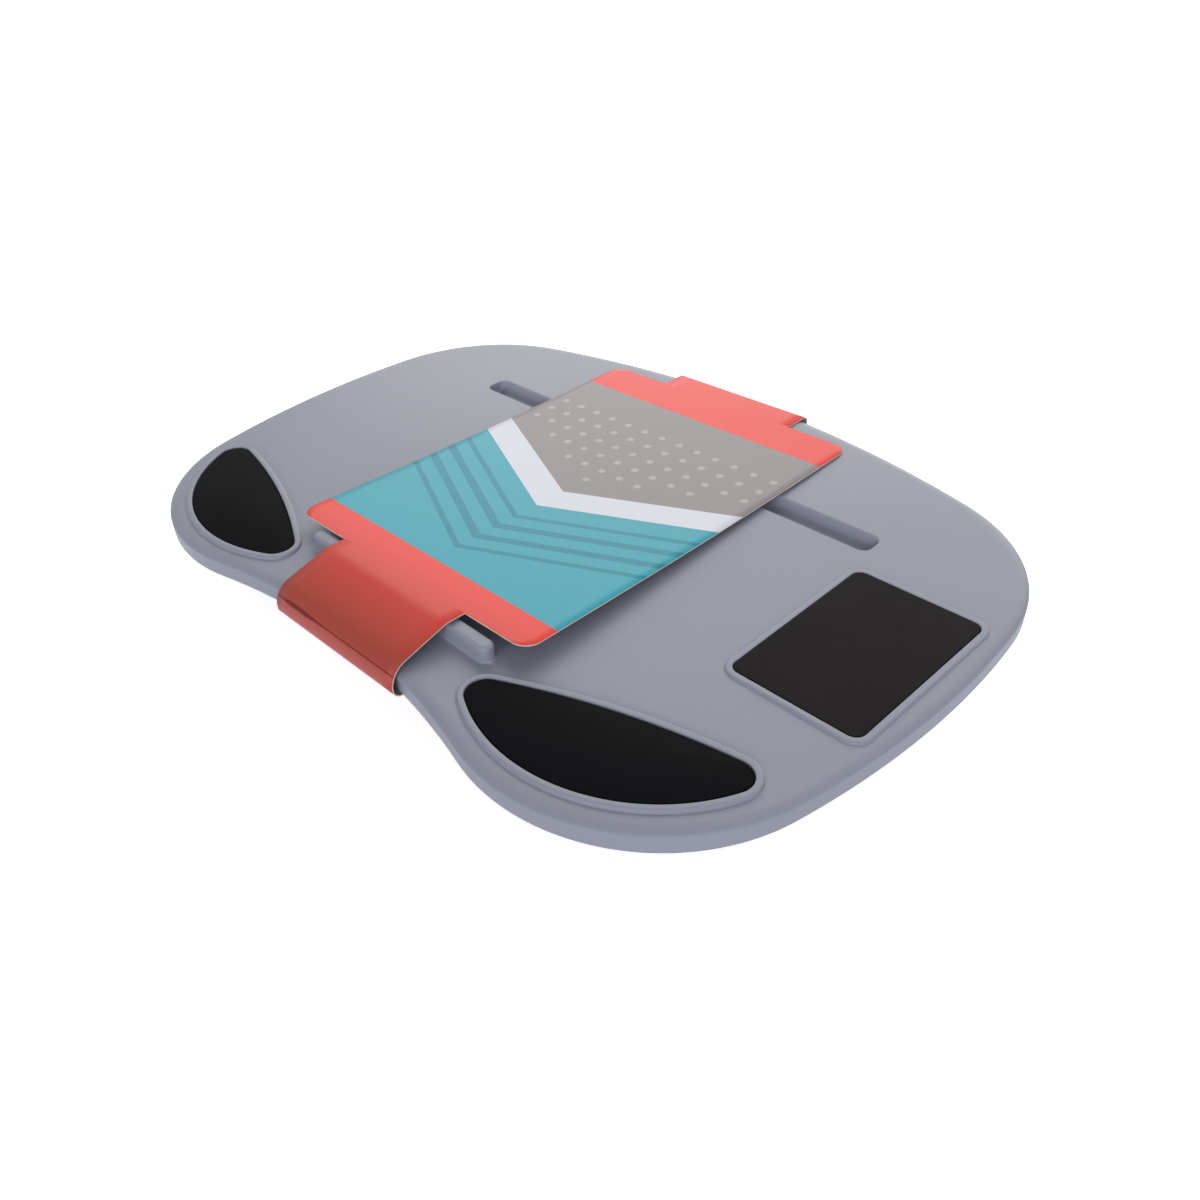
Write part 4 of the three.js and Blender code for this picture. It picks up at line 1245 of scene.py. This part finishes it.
FLOOR_SIZE = 12
FLOOR_DROP = 0.0002
FLOOR_GLOW = 0.72
WORLD_TINT = (0.96, 0.96, 1.0, 1)
WORLD_STRENGTH = 0.26
WHITE = (1, 1, 1, 1)
KEY_PLACE = (-0.5, 1.0, 0.6)
KEY_POWER = 1.95
KEY_COLOUR = (1.0, 0.99, 0.97)
KEY_SPREAD = math.radians(65)
FILL_PLACE = (1.25, -0.85, 0.35)
FILL_POWER = 2.0
FILL_COLOUR = (0.87, 0.88, 1.0)
FILL_SPREAD = math.radians(70)
FRONT_PLACE = (0.2, -1.0, 0.35)
FRONT_POWER = 0.9
FRONT_COLOUR = (0.89, 0.9, 1.0)
FRONT_SPREAD = math.radians(20)
SOFTBOX_PLACE = (-0.7, 0.6, 0.9)
SOFTBOX_POWER = 2.0
SOFTBOX_SIZE = 0.9


# 1 for rays that show the backdrop in the picture, directly, in a reflection or through glass; 0 for light
def camera_share(nodes, links):
    path = nodes.new("ShaderNodeLightPath")
    first = nodes.new("ShaderNodeMath")
    first.operation = "MAXIMUM"
    links.new(path.outputs["Is Camera Ray"], first.inputs[0])
    links.new(path.outputs["Is Glossy Ray"], first.inputs[1])
    second = nodes.new("ShaderNodeMath")
    second.operation = "MAXIMUM"
    links.new(first.outputs[0], second.inputs[0])
    links.new(path.outputs["Is Transmission Ray"], second.inputs[1])
    return second.outputs[0]


def make_floor():
    bpy.ops.mesh.primitive_plane_add(size=FLOOR_SIZE, location=(0, 0, -FLOOR_DROP))
    floor = bpy.context.object
    floor.name = "floor"
    finish = Finish("floor_white", Roughness=0.9, Specular_IOR_Level=0.1)
    finish.colour(srgb(238, 238, 240))
    glow = finish.node("Emission", {"Color": WHITE})
    share = camera_share(finish.tree.nodes, finish.tree.links)
    finish.feed(glow.inputs["Strength"], finish.math("MULTIPLY", share, FLOOR_GLOW))
    both = finish.node("AddShader", {0: finish.surface.outputs[0], 1: glow.outputs[0]})
    finish.feed(finish.tree.nodes["Material Output"].inputs["Surface"], both.outputs[0])
    floor.data.materials.append(finish.material)
    floor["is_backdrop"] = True


def make_world():
    world = bpy.data.worlds.new("studio")
    bpy.context.scene.world = world
    world.use_nodes = True
    nodes, links = world.node_tree.nodes, world.node_tree.links
    fill = nodes["Background"]
    fill.inputs["Color"].default_value = WORLD_TINT
    fill.inputs["Strength"].default_value = WORLD_STRENGTH
    white = nodes.new("ShaderNodeBackground")
    white.inputs["Color"].default_value = WHITE
    mixed = nodes.new("ShaderNodeMixShader")
    links.new(camera_share(nodes, links), mixed.inputs[0])
    links.new(fill.outputs[0], mixed.inputs[1])
    links.new(white.outputs[0], mixed.inputs[2])
    links.new(mixed.outputs[0], nodes["World Output"].inputs["Surface"])


# A lamp that shines from its place, in metres, towards the middle of the ground
def make_lamp(kind, name, place, power, colour, **settings):
    light = bpy.data.lights.new(name, kind)
    light.energy = power
    light.color = colour
    for key, value in settings.items():
        setattr(light, key, value)
    lamp = bpy.data.objects.new(name, light)
    lamp.location = place
    lamp.rotation_euler = Vector(place).to_track_quat("Z", "Y").to_euler()
    bpy.context.scene.collection.objects.link(lamp)


def make_camera():
    azimuth, elevation, roll = (math.radians(a) for a in (CAMERA_AZIMUTH, CAMERA_ELEVATION, CAMERA_ROLL))
    flat = math.cos(elevation)
    back = Vector((math.sin(azimuth) * flat, -math.cos(azimuth) * flat, math.sin(elevation)))
    right = Vector((math.cos(azimuth), math.sin(azimuth), 0))
    up = back.cross(right)
    rolled_right = right * math.cos(roll) + up * math.sin(roll)
    rolled_up = up * math.cos(roll) - right * math.sin(roll)
    eye = (CAMERA_TARGET - Vector((0, HALF_FOOTPRINT, 0)) + back * CAMERA_DISTANCE) * MM
    data = bpy.data.cameras.new("camera")
    data.sensor_width = SENSOR
    data.lens = CAMERA_FOCAL_PIXELS / PHOTO_SIZE * SENSOR
    data.shift_x = (PHOTO_SIZE / 2 - CAMERA_CENTRE_PIXEL) / PHOTO_SIZE
    data.clip_start = CLIP_START
    camera = bpy.data.objects.new("camera", data)
    rows = Matrix((rolled_right, rolled_up, back)).transposed().to_4x4()
    camera.matrix_world = Matrix.Translation(eye) @ rows
    bpy.context.scene.collection.objects.link(camera)
    bpy.context.scene.camera = camera


make_camera()
make_floor()
make_world()
make_lamp("SUN", "key_light", KEY_PLACE, KEY_POWER, KEY_COLOUR, angle=KEY_SPREAD)
make_lamp("SUN", "fill_light", FILL_PLACE, FILL_POWER, FILL_COLOUR, angle=FILL_SPREAD)
make_lamp("SUN", "front_light", FRONT_PLACE, FRONT_POWER, FRONT_COLOUR, angle=FRONT_SPREAD)
make_lamp("AREA", "back_softbox", SOFTBOX_PLACE, SOFTBOX_POWER, WHITE[:3], size=SOFTBOX_SIZE)

make_deck(deck_plastic())
knit = wrist_knit()
for side_name, side_sign in SIDES.items():
    make_wrist_rest(side_name, side_sign, knit)
make_mouse_pad(mouse_cloth())
steel = screw_steel()
for screw_node in SCREW_NODES:
    make_screw(screw_node, steel)
make_cushions(cushion_fabric(), piping_fabric())
make_sleeve(card_print(), card_board(), card_core())
dress_nodes(panel_plastic(), "base_panel")
dress_nodes(fastener_tape(), *(f"{name}_{kind}_tape" for name in SIDES for kind in ("loop", "hook")))
pads = ("left_wrist_pad", "right_wrist_pad", "mouse_pad")
dress_nodes(adhesive_film(), *(f"{pad}_adhesive" for pad in pads), "sleeve_tape")

bpy.context.scene.view_settings.view_transform = "Standard"

boxes = {"cad": CAD_BOX, "visual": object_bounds()}
{name: [list(corner) for corner in box] for name, box in boxes.items()}
